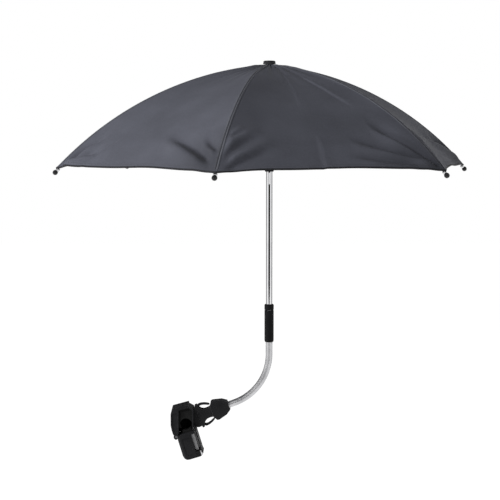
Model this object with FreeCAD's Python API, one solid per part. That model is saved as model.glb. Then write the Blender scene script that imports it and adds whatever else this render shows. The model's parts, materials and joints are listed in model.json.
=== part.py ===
import FreeCAD, Part

import math
import os

# Pram parasol: tube clamp, side-release buckle, flexible neck, shaft and folding six-rib canopy.
# Millimetres. Origin on the axis of the clamped tube, which runs along Y. Z is up.
# The shaft stands where the buckle and the bent neck bring it, to the right of the clamp seen from -Y.

# Placing: the buckle's mouth stands off the clamp, and the cap and the runner above the sleeve
BUCKLE_STANDOFF = 8.36
BUCKLE_MOUTH_Z = 10.93
CAP_ABOVE_SLEEVE = 453.0
RUNNER_ABOVE_SLEEVE = 276.5

# Canopy frame
RIB_COUNT = 6
FIRST_RIB_DEG = -103.3
RIB_WIRE_R = 1.5
RIB_ARC_R = 525.0
RIB_START_SLOPE_DEG = 5.45
RIB_ARC_DEG = 41.6
HINGE_R = 9.5
HINGE_BELOW_CAP = 10.0
EYE_R = 2.3
EYE_T = 2.6
EYE_BORE_R = 1.05
RING_WIRE_R = 0.9
RING_SLOT_W = 3.4
RING_R = 13.0
CLIP_ARC_DEG = 16.4
CLIP_DROP = 4.6
CLIP_LENGTH = 10.0
CLIP_WALL = 1.0
CLIP_CHEEK_R = 3.0
RIVET_R = 1.0
RIVET_RUN = 0.06
STRETCHER_WIRE_R = 1.2
TIP_BALL_R = 4.0
TIP_STEM_R = 2.3
TIP_STEM_LENGTH = 8.5
TIP_FOLDED_R = 15.0

# Cover
COVER_T = 0.8
COVER_OVER_RIB = 3.0
COVER_HOLE_R = 5.4
COVER_TO_TIP = 7.0
HEM_MID_R = 285.5
HEM_MID_RISE = 4.0
PANEL_SAG = 7.0
PANEL_GAP = 0.3

# Cap and crown
CAP_R = 10.2
CAP_GAP = 0.3
CAP_STEM_R = 4.15
CAP_STEM_LENGTH = 14.0
CROWN_TOP_BELOW_CAP = 7.6
CROWN_HEIGHT = 8.4
CROWN_CONE = 3.0
RING_HUB_R = 6.4

# Shaft, runner and catch
SHAFT_R = 5.0
SHAFT_WALL = 0.8
SHAFT_IN_SLEEVE = 45.0
RUNNER_BORE_R = 5.15
RUNNER_TAIL_R = 6.2
RUNNER_HUB_R = 6.9
RUNNER_RING_HALF = 5.0
CATCH_W = 2.4
CATCH_T = 0.7
CATCH_OUT_R = 7.6
CATCH_FOOT_BELOW = 35.8
CATCH_BEND_BELOW = 19.5
CATCH_GAP = 0.7
CATCH_CURL_R = 0.75
CATCH_CURL_Q = 3.2
CATCH_PRESS_DEG = 5.0

# Coupling sleeve
SLEEVE_R = 7.5
SLEEVE_LENGTH = 62.0
COLLAR_LENGTH = 9.4
COLLAR_GROOVE = 0.7
PRESS_RUN = 0.03

# Flexible neck
NECK_R = 5.5
NECK_GROOVE = 0.55
NECK_PITCH = 2.6
NECK_BORE_R = 2.4
NECK_BEND_R = 85.0
NECK_TURN_DEG = 69.3
NECK_TOP_STRAIGHT = 20.0
NECK_END_STRAIGHT = 11.3
NECK_IN_HOUSING = 12.0
NECK_IN_SLEEVE = 16.0
NECK_BEND_AT = 45.0
NECK_SWAY_AT = 92.0
NECK_BALL_R = 5.0
NECK_BALL_RUN = 0.3
NECK_BALL_CLEAR = 2.5

# Buckle, in its own plane: u from the housing's outer face toward the clamp, w across
HOUSING_HEAD_T = 16.0
HOUSING_PLATE_T = 13.0
HOUSING_CAVITY_T = 7.0
HOUSING_MOUTH_U = 52.5
HOUSING_CAVITY_U = 29.0
HOUSING_MOUTH_W = 19.3
HOUSING_WALL = 1.5
MOUTH_RIM = 3.5
PRONG_T = 6.2
PRONG_BEHIND_MOUTH = 2.7
PRONG_IN_FROM_EDGE = 7.3
PRONG_KNUCKLE_R = 2.0
PRONG_RUN = 0.25
BLOCK_INSET = 2.7
GUIDE_W = 6.0
GUIDE_END_U = 34.0
BUCKLE_RUN = 0.4

# Tube clamp
TUBE_R = 9.5
CLAMP_DEPTH = 34.0
PAD_DEPTH = 26.0
CLAMP_TILT_DEG = 17.0
WEB_SLOPE_DEG = 14.0
WEB_TOP_Z = 31.6
WEB_T = 3.0
BASE_PLATE_T = 2.6
WALL_OUT_X = -24.8
WALL_IN_X = -12.0
WEB_END_X = 4.0
FLANGE_X = 9.8
FLANGE_T = 2.2
FLANGE_BOTTOM_Z = -8.5
SCREW_R = 1.3
SCREW_HEAD_R = 2.6
SCREW_X = -4.0
SCREW_Y = 10.0
SCREW_SINK = 1.7
SHOULDER_Z = 25.0

# Jaw and latch, in the jaw's own tilt: a along its top, b down its length
JAW_PIN = (-15.6, -20.6)
JAW_PIN_R = 2.0
JAW_KNUCKLE_R = 4.4
JAW_KNUCKLE_HALF = 8.0
JAW_RUN = 0.3
JAW_LEFT_A = -20.4
JAW_BODY_A = 2.0
JAW_TOP_B = 13.2
JAW_BOTTOM_B = 57.0
FOOT_TOP_B = 48.0
CHANNEL_DEPTH = 9.0
JAW_OPEN_DEG = 85.0
LATCH_A = 10.8
LATCH_T = 2.0
LATCH_PIVOT_B = 52.0
LATCH_PIN_R = 1.2
LATCH_KNUCKLE_R = 2.5
LATCH_HALF_W = 13.8
LATCH_NOSE_B = (5.6, 8.2)
LATCH_NOSE_Y = (9.0, 13.5)
LATCH_PULL_DEG = 8.0

Y_AXIS = FreeCAD.Vector(0, 1, 0)
Z_AXIS = FreeCAD.Vector(0, 0, 1)


def vec(x, y, z):
    return FreeCAD.Vector(x, y, z)


# The buckle's axis, and the shaft's place at the end of the neck
TURN = math.radians(NECK_TURN_DEG)
AXIS_D = (math.sin(TURN), math.cos(TURN))
AXIS_N = (-AXIS_D[1], AXIS_D[0])
HOUSING_FACE = (
    FLANGE_X + FLANGE_T + BUCKLE_STANDOFF + HOUSING_MOUTH_U * AXIS_D[0],
    BUCKLE_MOUTH_Z + HOUSING_MOUTH_U * AXIS_D[1],
)
NECK_CENTRE = (
    HOUSING_FACE[0] + NECK_END_STRAIGHT * AXIS_D[0] - NECK_BEND_R * math.cos(TURN),
    HOUSING_FACE[1] + NECK_END_STRAIGHT * AXIS_D[1] + NECK_BEND_R * math.sin(TURN),
)
NECK_ARC = NECK_BEND_R * TURN
NECK_LENGTH = NECK_END_STRAIGHT + NECK_ARC + NECK_TOP_STRAIGHT
SHAFT_X = NECK_CENTRE[0] + NECK_BEND_R
SLEEVE_BOTTOM_Z = NECK_CENTRE[1] + NECK_TOP_STRAIGHT
PRONG_PIVOT = (HOUSING_MOUTH_U + PRONG_BEHIND_MOUTH, HOUSING_MOUTH_W - PRONG_IN_FROM_EDGE)

# Derived heights of the canopy frame
CAP_TOP_Z = SLEEVE_BOTTOM_Z + CAP_ABOVE_SLEEVE
RUNNER_BOTTOM_Z = SLEEVE_BOTTOM_Z + RUNNER_ABOVE_SLEEVE
HINGE_Z = CAP_TOP_Z - HINGE_BELOW_CAP
SLEEVE_TOP_Z = SLEEVE_BOTTOM_Z + SLEEVE_LENGTH
CROWN_TOP_Z = CAP_TOP_Z - CROWN_TOP_BELOW_CAP
ARC_CENTRE_R = HINGE_R - RIB_ARC_R * math.sin(math.radians(RIB_START_SLOPE_DEG))
ARC_CENTRE_Z = HINGE_Z - RIB_ARC_R * math.cos(math.radians(RIB_START_SLOPE_DEG))


def rib_point(arc_deg, out=0.0):
    """Radius and height of the point at an angle along the rib, moved out from the wire's middle."""
    slope = math.radians(RIB_START_SLOPE_DEG + arc_deg)
    radius = RIB_ARC_R + out
    return ARC_CENTRE_R + radius * math.sin(slope), ARC_CENTRE_Z + radius * math.cos(slope)


CLIP_POINT = rib_point(CLIP_ARC_DEG, -CLIP_DROP)
LINK_LENGTH = math.hypot(CLIP_POINT[0] - HINGE_R, CLIP_POINT[1] - HINGE_Z)
RUNNER_PIVOT_Z = 2.0 * CLIP_POINT[1] - HINGE_Z
TIP_POINT = rib_point(RIB_ARC_DEG)
TIP_REACH = math.hypot(TIP_POINT[0] - HINGE_R, TIP_POINT[1] - HINGE_Z)
FOLD_DEG = math.degrees(
    math.atan2(TIP_POINT[0] - HINGE_R, HINGE_Z - TIP_POINT[1])
    - math.asin((TIP_FOLDED_R - HINGE_R) / TIP_REACH)
)
COVER_ARC_DEG = RIB_ARC_DEG - math.degrees(COVER_TO_TIP / RIB_ARC_R)
CATCH_TOP_Z = RUNNER_BOTTOM_Z - CATCH_GAP
CATCH_PIVOT_Z = CATCH_TOP_Z - CATCH_FOOT_BELOW


def rib_azimuth(index):
    return FIRST_RIB_DEG + 360.0 / RIB_COUNT * index


def cylinder(radius, length, middle, axis):
    """Cylinder of a length along an axis, centred on a point."""
    start = middle - axis * (length / 2.0)
    return Part.makeCylinder(radius, length, start, axis)


def box(x0, x1, y0, y1, z0, z1):
    return Part.makeBox(x1 - x0, y1 - y0, z1 - z0, vec(x0, y0, z0))


def prism(points, y0, y1):
    """Solid of an outline of (x, z) points, from y0 to y1."""
    corners = [vec(x, y0, z) for x, z in points]
    face = Part.Face(Part.makePolygon(corners + corners[:1]))
    return face.extrude(vec(0, y1 - y0, 0))


def turned(profile):
    """Solid turned about Z from an outline of (r, z) points."""
    corners = [vec(r, 0, z) for r, z in profile]
    face = Part.Face(Part.makePolygon(corners + corners[:1]))
    return face.revolve(vec(0, 0, 0), Z_AXIS, 360)


def union(first, *others):
    return first.multiFuse(list(others)).removeSplitter()


def group(shapes):
    return Part.makeCompound(shapes)


def to_shaft(shape):
    moved = shape.copy()
    moved.translate(vec(SHAFT_X, 0, 0))
    return moved


def to_rib(shape, index):
    """Carries a shape from the X-Z plane of a rib at azimuth zero to the plane of one rib."""
    moved = shape.copy()
    moved.rotate(vec(0, 0, 0), Z_AXIS, rib_azimuth(index))
    return to_shaft(moved)


def along_rib(shape, arc_deg, out=0.0):
    """Sets a shape made at the origin, X along the wire and Z outward, on the rib."""
    r, z = rib_point(arc_deg, out)
    moved = shape.copy()
    moved.rotate(vec(0, 0, 0), Y_AXIS, RIB_START_SLOPE_DEG + arc_deg)
    moved.translate(vec(r, 0, z))
    return moved


def rib():
    """Round wire on an arc with a flattened eye at the crown."""
    circle = Part.Circle(vec(0, 0, 0), vec(1, 0, 0), RIB_WIRE_R)
    section = Part.Face(Part.Wire(circle.toShape()))
    start = along_rib(section, 0.0)
    wire = start.revolve(vec(ARC_CENTRE_R, 0, ARC_CENTRE_Z), Y_AXIS, RIB_ARC_DEG)
    hinge = vec(HINGE_R, 0, HINGE_Z)
    eye = cylinder(EYE_R, EYE_T, hinge, Y_AXIS)
    bore = cylinder(EYE_BORE_R, 4 * EYE_T, hinge, Y_AXIS)
    return union(wire, eye).cut(bore)


def rib_clip():
    """Saddle folded over the rib with two cheeks and the rivet that carries the stretcher."""
    out_r = RIB_WIRE_R + 0.1 + CLIP_WALL
    in_r = RIB_WIRE_R + 0.1
    low = vec(0, 0, -CLIP_DROP)
    saddle = cylinder(out_r, CLIP_LENGTH, vec(0, 0, 0), vec(1, 0, 0))
    below = box(-CLIP_LENGTH, CLIP_LENGTH, -2 * out_r, 2 * out_r, -2 * out_r, -0.6)
    saddle = saddle.cut(below)
    cheeks = box(-CLIP_CHEEK_R, CLIP_CHEEK_R, -out_r, out_r, -CLIP_DROP, 0)
    cheeks = union(cheeks, cylinder(CLIP_CHEEK_R, 2 * out_r, low, Y_AXIS))
    channel = box(-CLIP_LENGTH, CLIP_LENGTH, -in_r, in_r, -CLIP_DROP - 2 * CLIP_CHEEK_R, 0)
    hollow = union(channel, cylinder(in_r, 2 * CLIP_LENGTH, vec(0, 0, 0), vec(1, 0, 0)))
    clip = union(saddle, cheeks).cut(hollow)
    clip = clip.cut(cylinder(RIVET_R + 0.02, 6 * out_r, low, Y_AXIS))
    shank = cylinder(RIVET_R, 2 * out_r + 0.6, low, Y_AXIS)
    heads = []
    for side in (-1, 1):
        middle = low + Y_AXIS * (side * (out_r + 0.35))
        heads.append(cylinder(1.7 * RIVET_R, 0.6, middle, Y_AXIS))
    rivet = union(shank, *heads)
    return along_rib(group([clip, rivet]), CLIP_ARC_DEG)


def rib_tip():
    """Ball with a short stem, pushed on the outer end of the rib."""
    stem = Part.makeCylinder(TIP_STEM_R, TIP_STEM_LENGTH, vec(-TIP_STEM_LENGTH, 0, 0), vec(1, 0, 0))
    ball = Part.makeSphere(TIP_BALL_R)
    bore = Part.makeCylinder(RIB_WIRE_R + 0.2, 20.0, vec(-19.8, 0, 0.05), vec(1, 0, 0))
    return along_rib(union(ball, stem).cut(bore), RIB_ARC_DEG)


def stretcher():
    """Straight wire between two flattened eyes, from the clip down to the runner."""
    upper = vec(CLIP_POINT[0], 0, CLIP_POINT[1])
    lower = vec(HINGE_R, 0, RUNNER_PIVOT_Z)
    run = upper - lower
    body = Part.makeCylinder(STRETCHER_WIRE_R, run.Length, lower, run)
    eyes = [cylinder(EYE_R, EYE_T, end, Y_AXIS) for end in (upper, lower)]
    shape = union(body, *eyes)
    shape = shape.cut(cylinder(RIVET_R + RIVET_RUN, 4 * EYE_T, upper, Y_AXIS))
    return shape.cut(cylinder(EYE_BORE_R, 4 * EYE_T, lower, Y_AXIS))


def strip_wire(centre, radii, angles, place):
    """Closed thin strip between two arcs about one centre, angles from the vertical."""
    outer, inner = radii
    start, end = angles
    middle = (start + end) / 2.0

    def point(radius, angle):
        return place(centre[0] + radius * math.sin(angle), centre[1] + radius * math.cos(angle))

    edges = [
        Part.Arc(point(outer, start), point(outer, middle), point(outer, end)).toShape(),
        Part.makeLine(point(outer, end), point(inner, end)),
        Part.Arc(point(inner, end), point(inner, middle), point(inner, start)).toShape(),
        Part.makeLine(point(inner, start), point(outer, start)),
    ]
    return Part.Wire(edges)


def panel_middle_arc():
    """Circle through the hole, the sagging middle and the hem of a panel's centre line."""
    half = math.pi / RIB_COUNT
    outer = RIB_ARC_R + COVER_OVER_RIB + COVER_T
    over = COVER_OVER_RIB + COVER_T
    top_slope = math.asin((COVER_HOLE_R - ARC_CENTRE_R) / outer)
    top = (COVER_HOLE_R * math.cos(half), ARC_CENTRE_Z + outer * math.cos(top_slope))
    mid_r, mid_z = rib_point(COVER_ARC_DEG * 0.52, over)
    mid_slope = math.radians(RIB_START_SLOPE_DEG + COVER_ARC_DEG * 0.52)
    mid = (
        mid_r * math.cos(half) - PANEL_SAG * math.sin(mid_slope),
        mid_z - PANEL_SAG * math.cos(mid_slope),
    )
    hem = (HEM_MID_R, rib_point(COVER_ARC_DEG, over)[1] + HEM_MID_RISE)
    flat = [vec(r, z, 0) for r, z in (top, mid, hem)]
    arc = Part.Circle(*flat)
    centre = (arc.Center.x, arc.Center.y)
    angles = [math.atan2(r - centre[0], z - centre[1]) for r, z in (top, hem)]
    return centre, arc.Radius, angles


def cover_share():
    """One rib's share of the sewn cover, out to the middles of the two panels beside it."""
    outer = RIB_ARC_R + COVER_OVER_RIB + COVER_T
    centre = (ARC_CENTRE_R, ARC_CENTRE_Z)
    start = math.asin((COVER_HOLE_R - ARC_CENTRE_R) / outer)
    end = math.radians(RIB_START_SLOPE_DEG + COVER_ARC_DEG)
    ridge = strip_wire(centre, (outer, outer - COVER_T), (start, end), lambda r, z: vec(r, 0, z))
    mid_centre, mid_radius, mid_angles = panel_middle_arc()
    half = math.pi / RIB_COUNT
    wires = []
    for side in (-1, 1):
        shift = vec(math.sin(half), -side * math.cos(half), 0) * (PANEL_GAP / 2.0)

        def place(r, z):
            return vec(r * math.cos(half), side * r * math.sin(half), z) + shift

        wires.append(strip_wire(mid_centre, (mid_radius, mid_radius - COVER_T), mid_angles, place))
    return Part.makeLoft([wires[0], ridge, wires[1]], True, True)


def ring_slots(z0, z1, hub_r):
    """Slots of a rib ring, one per rib, open outward."""
    slots = []
    for index in range(RIB_COUNT):
        slot = box(hub_r, 2 * RING_R, -RING_SLOT_W / 2, RING_SLOT_W / 2, z0 - 1, z1 + 1)
        slot.rotate(vec(0, 0, 0), Z_AXIS, rib_azimuth(index))
        slots.append(slot)
    return slots


def ring_groove(z):
    """Groove for the ring wire, open to the outside so the wire can be laid in."""
    bed = Part.makeTorus(HINGE_R, RING_WIRE_R + 0.03, vec(0, 0, z), Z_AXIS)
    height = 2 * (RING_WIRE_R + 0.03)
    wide = Part.makeCylinder(2 * RING_R, height, vec(0, 0, z - height / 2))
    way_in = wide.cut(Part.makeCylinder(HINGE_R, height, vec(0, 0, z - height / 2)))
    return [bed, way_in]


def ring_wire(z):
    return to_shaft(Part.makeTorus(HINGE_R, RING_WIRE_R, vec(0, 0, z), Z_AXIS))


def crown():
    z0 = CROWN_TOP_Z - CROWN_HEIGHT
    z1 = CROWN_TOP_Z
    body = turned([(0, z0), (RING_R, z0), (RING_R, z1 - CROWN_CONE), (RING_R - 4.5, z1), (0, z1)])
    body = body.cut(Part.makeCylinder(SHAFT_R + PRESS_RUN, 3 * CROWN_HEIGHT, vec(0, 0, z0 - CROWN_HEIGHT)))
    for tool in ring_slots(z0, CROWN_TOP_Z, RING_HUB_R) + ring_groove(HINGE_Z):
        body = body.cut(tool)
    return to_shaft(body)


def runner():
    """Slotted ring on a long tail that slides on the shaft."""
    z0 = RUNNER_PIVOT_Z - RUNNER_RING_HALF
    z1 = RUNNER_PIVOT_Z + RUNNER_RING_HALF
    tail = Part.makeCylinder(RUNNER_TAIL_R, z0 - RUNNER_BOTTOM_Z + 1, vec(0, 0, RUNNER_BOTTOM_Z))
    rim = turned([
        (0, RUNNER_BOTTOM_Z),
        (RUNNER_TAIL_R + 0.5, RUNNER_BOTTOM_Z),
        (RUNNER_TAIL_R + 0.9, RUNNER_BOTTOM_Z + 0.8),
        (RUNNER_TAIL_R + 0.9, RUNNER_BOTTOM_Z + 5.0),
        (RUNNER_TAIL_R, RUNNER_BOTTOM_Z + 6.5),
        (0, RUNNER_BOTTOM_Z + 6.5),
    ])
    ring = turned([(0, z0 - 6), (RUNNER_TAIL_R, z0 - 6), (RING_R, z0), (RING_R, z1), (0, z1)])
    body = union(tail, rim, ring)
    for tool in ring_slots(z0 - 7, z1, RUNNER_HUB_R) + ring_groove(RUNNER_PIVOT_Z):
        body = body.cut(tool)
    bore = Part.makeCylinder(RUNNER_BORE_R, 2 * (z1 - RUNNER_BOTTOM_Z), vec(0, 0, RUNNER_BOTTOM_Z - 20))
    return to_shaft(body.cut(bore))


def top_cap():
    """Flat cap with a turned edge, on a stem pressed in the shaft."""
    under = CAP_TOP_Z - 5.45
    stem_end = under - CAP_STEM_LENGTH
    profile = [
        (0, stem_end),
        (CAP_STEM_R - 0.4, stem_end),
        (CAP_STEM_R, stem_end + 0.8),
        (CAP_STEM_R, under),
        (CAP_R, under),
        (CAP_R, under + 1.2),
        (CAP_R - 0.5, under + 1.7),
        (CAP_R - 0.5, CAP_TOP_Z - 1.2),
        (CAP_R - 1.6, CAP_TOP_Z - 0.2),
        (CAP_R - 3.0, CAP_TOP_Z),
        (0, CAP_TOP_Z),
    ]
    return to_shaft(turned(profile))


def shaft():
    """Drawn tube with the slot for the spring catch, open toward -Y."""
    z0 = SLEEVE_TOP_Z - SHAFT_IN_SLEEVE
    z1 = CROWN_TOP_Z - 0.4
    tube = Part.makeCylinder(SHAFT_R, z1 - z0, vec(0, 0, z0))
    tube = tube.cut(Part.makeCylinder(SHAFT_R - SHAFT_WALL, z1 - z0, vec(0, 0, z0)))
    half = CATCH_W / 2 + 0.3
    low = CATCH_TOP_Z - CATCH_BEND_BELOW - 1.5
    slot = box(-half, half, -2 * SHAFT_R, 0, low, CATCH_TOP_Z + 0.6)
    return to_shaft(tube.cut(slot))


def catch_spring():
    """Bent leaf inside the shaft whose step stands out below the runner."""
    foot = CATCH_PIVOT_Z
    bend = CATCH_TOP_Z - CATCH_BEND_BELOW
    top = CATCH_TOP_Z
    inner = CATCH_CURL_Q + CATCH_CURL_R - CATCH_T
    outer = CATCH_CURL_Q + CATCH_CURL_R
    path = [
        (outer, foot),
        (outer, bend),
        (CATCH_OUT_R, top - 1.0),
        (CATCH_OUT_R, top),
        (2.2, top),
        (2.2, top - CATCH_T),
        (CATCH_OUT_R - 0.75, top - CATCH_T),
        (inner, bend + 0.15),
        (inner, foot),
    ]
    half = CATCH_W / 2
    corners = [vec(-half, -q, z) for q, z in path]
    leaf = Part.Face(Part.makePolygon(corners + corners[:1])).extrude(vec(CATCH_W, 0, 0))
    curl = cylinder(CATCH_CURL_R, CATCH_W, vec(0, -CATCH_CURL_Q, foot), vec(1, 0, 0))
    return to_shaft(union(leaf, curl))


def coupling_sleeve():
    z0 = SLEEVE_BOTTOM_Z
    z1 = SLEEVE_TOP_Z - COLLAR_LENGTH - COLLAR_GROOVE
    step = SLEEVE_TOP_Z - SHAFT_IN_SLEEVE
    profile = [
        (0, z0),
        (SLEEVE_R - 1.2, z0),
        (SLEEVE_R - 0.3, z0 + 1.2),
        (SLEEVE_R, z0 + 3.0),
        (SLEEVE_R, z1 - 0.5),
        (SLEEVE_R - 0.5, z1),
        (0, z1),
    ]
    body = turned(profile)
    body = body.cut(Part.makeCylinder(SHAFT_R + PRESS_RUN, z1 - step + 1, vec(0, 0, step)))
    body = body.cut(Part.makeCylinder(NECK_R + PRESS_RUN, step - z0 + 1, vec(0, 0, z0 - 1)))
    return to_shaft(body)


def sleeve_collar():
    z1 = SLEEVE_TOP_Z
    z0 = z1 - COLLAR_LENGTH
    profile = [
        (SHAFT_R + PRESS_RUN, z0),
        (SLEEVE_R - 0.4, z0),
        (SLEEVE_R + 0.1, z0 + 0.5),
        (SLEEVE_R + 0.1, z1 - 1.4),
        (SLEEVE_R - 1.0, z1),
        (SHAFT_R + PRESS_RUN, z1),
    ]
    return to_shaft(turned(profile))


def neck_point(s):
    """Point (x, z) and heading (x, z) of the neck's middle line at a distance from the housing."""
    if s <= NECK_END_STRAIGHT:
        return (HOUSING_FACE[0] + s * AXIS_D[0], HOUSING_FACE[1] + s * AXIS_D[1]), AXIS_D
    if s >= NECK_END_STRAIGHT + NECK_ARC:
        over = s - NECK_END_STRAIGHT - NECK_ARC
        return (SHAFT_X, NECK_CENTRE[1] + over), (0.0, 1.0)
    angle = (s - NECK_END_STRAIGHT) / NECK_BEND_R - TURN
    point = (
        NECK_CENTRE[0] + NECK_BEND_R * math.cos(angle),
        NECK_CENTRE[1] + NECK_BEND_R * math.sin(angle),
    )
    return point, (-math.sin(angle), math.cos(angle))


def neck_ring(s, radius):
    """Circle across the neck, its start always toward +Y."""
    (x, z), (hx, hz) = neck_point(s)
    circle = Part.Wire(Part.Circle(vec(0, 0, 0), Z_AXIS, radius).toShape())
    turn = FreeCAD.Rotation(Y_AXIS, vec(0, 0, 0), vec(hx, 0, hz), "ZXY")
    circle.Placement = FreeCAD.Placement(vec(x, 0, z), turn)
    return circle


def neck_stations(start, end, plain_start, plain_end):
    """Distances and radii of the wound outside between two ends, with plain lengths at the ends."""
    stations = [(start, NECK_R)]
    if plain_start > start:
        stations.append((plain_start, NECK_R))
    first = plain_start + 0.3
    turns = int((plain_end - 0.3 - first) / NECK_PITCH)
    pitch = (plain_end - 0.3 - first) / turns
    for turn in range(turns):
        s = first + turn * pitch
        stations += [
            (s, NECK_R - NECK_GROOVE),
            (s + 0.3 * pitch, NECK_R),
            (s + 0.7 * pitch, NECK_R),
        ]
    stations.append((first + turns * pitch, NECK_R - NECK_GROOVE))
    stations.append((plain_end, NECK_R))
    if end > plain_end:
        stations.append((end, NECK_R))
    return stations


def neck_segment(start, end, plain_start, plain_end):
    rings = [neck_ring(s, r) for s, r in neck_stations(start, end, plain_start, plain_end)]
    return Part.makeLoft(rings, True, True)


def neck_bore(start, end):
    count = 16
    rings = [neck_ring(start + (end - start) * i / count, NECK_BORE_R) for i in range(count + 1)]
    return Part.makeLoft(rings, True, True)


def neck_ball(at, radius):
    (x, z), _ = neck_point(at)
    return Part.makeSphere(radius, vec(x, 0, z))


def neck_lower():
    end = NECK_BEND_AT - NECK_BALL_CLEAR
    body = neck_segment(-NECK_IN_HOUSING, end, 0.5, end - 0.4)
    body = body.cut(neck_ball(NECK_BEND_AT, NECK_BALL_R + NECK_BALL_RUN))
    return body.cut(neck_bore(-NECK_IN_HOUSING - 1, NECK_BEND_AT))


def neck_middle():
    start = NECK_BEND_AT + NECK_BALL_CLEAR
    end = NECK_SWAY_AT - NECK_BALL_CLEAR
    body = neck_segment(start, end, start + 0.4, end - 0.4)
    body = union(body, neck_ball(NECK_BEND_AT, NECK_BALL_R))
    body = body.cut(neck_ball(NECK_SWAY_AT, NECK_BALL_R + NECK_BALL_RUN))
    return body.cut(neck_bore(NECK_BEND_AT - 8, NECK_SWAY_AT))


def neck_upper():
    start = NECK_SWAY_AT + NECK_BALL_CLEAR
    end = NECK_LENGTH + NECK_IN_SLEEVE
    body = neck_segment(start, end, start + 0.4, NECK_LENGTH - 0.5)
    body = union(body, neck_ball(NECK_SWAY_AT, NECK_BALL_R))
    return body.cut(neck_bore(NECK_SWAY_AT - 8, end + 1))


def buckle(u, w):
    """Point (x, z) of the buckle's plane."""
    x = HOUSING_FACE[0] - u * AXIS_D[0] + w * AXIS_N[0]
    z = HOUSING_FACE[1] - u * AXIS_D[1] + w * AXIS_N[1]
    return x, z


def buckle_prism(points, thick):
    return prism([buckle(u, w) for u, w in points], -thick / 2, thick / 2)


def mirrored(points):
    """Outline of one edge, joined to its mirror image across the buckle's axis."""
    return points + [(u, -w) for u, w in reversed(points)]


def buckle_housing():
    """Head on the neck, waisted plates and the mouth that takes the prongs."""
    head = [
        (0.0, 7.2),
        (1.2, 8.0),
        (5.0, 10.6),
        (8.0, 12.6),
        (22.5, 16.4),
        (26.0, 15.6),
        (27.6, 12.6),
        (29.5, 9.6),
    ]
    head = buckle_prism(mirrored(head), HOUSING_HEAD_T)
    flare = [(23.5, 9.4), (21.0, 8.3), (16.5, 7.8), (12.0, 8.3), (8.5, 10.2), (5.5, 14.0)]
    plates = [(20.0, 9.0)] + [(HOUSING_MOUTH_U - back, w) for back, w in flare]
    plates += [(HOUSING_MOUTH_U - MOUTH_RIM, HOUSING_MOUTH_W), (HOUSING_MOUTH_U, HOUSING_MOUTH_W)]
    plates = buckle_prism(mirrored(plates), HOUSING_PLATE_T)
    inside = HOUSING_MOUTH_W - HOUSING_WALL
    cavity = mirrored([(HOUSING_CAVITY_U, inside), (HOUSING_MOUTH_U + 2, inside)])
    cavity = buckle_prism(cavity, HOUSING_CAVITY_T)
    x, z = buckle(NECK_IN_HOUSING + 0.3, 0.0)
    bore = Part.makeCylinder(NECK_R + PRESS_RUN, 40.0, vec(x, 0, z), vec(AXIS_D[0], 0, AXIS_D[1]))
    return union(head, plates).cut(cavity).cut(bore)


def prong(side):
    """Sprung arm from its knuckle in the base, out past the mouth's wall to a free tip.

    The outline's points are given back from the mouth and in from its edge.
    """
    u, w = PRONG_PIVOT
    bar = [
        (-1.9, 8.3),
        (-2.3, 5.4),
        (0.1, 2.9),
        (3.5, 2.7),
        (4.5, 2.1),
        (5.0, 0.5),
        (7.5, -0.1),
        (11.0, 0.2),
        (15.0, 1.3),
        (18.7, 2.8),
        (21.7, 4.5),
        (23.3, 5.9),
        (23.5, 7.0),
        (22.5, 7.6),
        (20.2, 6.9),
        (17.0, 5.4),
        (13.5, 4.1),
        (10.0, 3.5),
        (7.5, 3.7),
        (4.7, 5.0),
        (1.5, 6.4),
    ]
    bar = [(HOUSING_MOUTH_U - back, side * (HOUSING_MOUTH_W - inward)) for back, inward in bar]
    arm = buckle_prism(bar, PRONG_T)
    x, z = buckle(u, side * w)
    return union(arm, cylinder(PRONG_KNUCKLE_R, PRONG_T, vec(x, 0, z), Y_AXIS))


def web_z(x, below=0.0):
    return WEB_TOP_Z - below + x * math.tan(math.radians(WEB_SLOPE_DEG))


def saddle():
    """Left wall and sloping web of the clamp, with the middle knuckle of the jaw hinge."""
    half = CLAMP_DEPTH / 2
    outline = [
        (WALL_OUT_X + 2.0, web_z(WALL_OUT_X + 2.0) - 0.6),
        (WEB_END_X - 1.0, web_z(WEB_END_X - 1.0)),
        (WEB_END_X, web_z(WEB_END_X) - 1.2),
        (WEB_END_X, web_z(WEB_END_X, WEB_T)),
        (WALL_IN_X, web_z(WALL_IN_X, WEB_T)),
        (WALL_IN_X, -14.5),
        (-14.0, -17.5),
        (-20.6, -17.5),
        (WALL_OUT_X + 1.8, -10.0),
        (WALL_OUT_X, -1.5),
        (WALL_OUT_X, 17.0),
    ]
    body = prism(outline, -half, half)
    for side in (-1, 1):
        face = [(-22.8, 16.5), (-14.0, 19.0), (-14.0, -12.0), (-20.4, -12.0), (-22.6, -2.0)]
        recess = prism(face, side * half, side * (half - 1.2))
        body = body.cut(recess)
    x, z = JAW_PIN
    pivot = vec(x, 0, z)
    lug = [(x - JAW_KNUCKLE_R, z), (x - JAW_KNUCKLE_R, -16.0), (x + 3.4, -16.0), (x + JAW_KNUCKLE_R, z)]
    lug = prism(lug, -JAW_KNUCKLE_HALF, JAW_KNUCKLE_HALF)
    barrel = cylinder(JAW_KNUCKLE_R, 2 * JAW_KNUCKLE_HALF, pivot, Y_AXIS)
    room = JAW_KNUCKLE_R + JAW_RUN
    for side in (-1, 1):
        outer = half + 1
        inner = JAW_KNUCKLE_HALF + JAW_RUN
        middle = pivot + Y_AXIS * (side * (outer + inner) / 2)
        body = body.cut(cylinder(room, outer - inner, middle, Y_AXIS))
    body = union(body, lug, barrel)
    body = body.cut(cylinder(JAW_PIN_R + 0.02, 2 * CLAMP_DEPTH, pivot, Y_AXIS))
    for seat, up in screw_axes():
        body = body.cut(Part.makeCylinder(SCREW_R + 0.02, 20.0, seat + up * 2.0, up * -1.0))
        body = body.cut(Part.makeCylinder(SCREW_HEAD_R + 0.3, 6.0, seat - up * 0.02, up))
    return body


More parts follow.
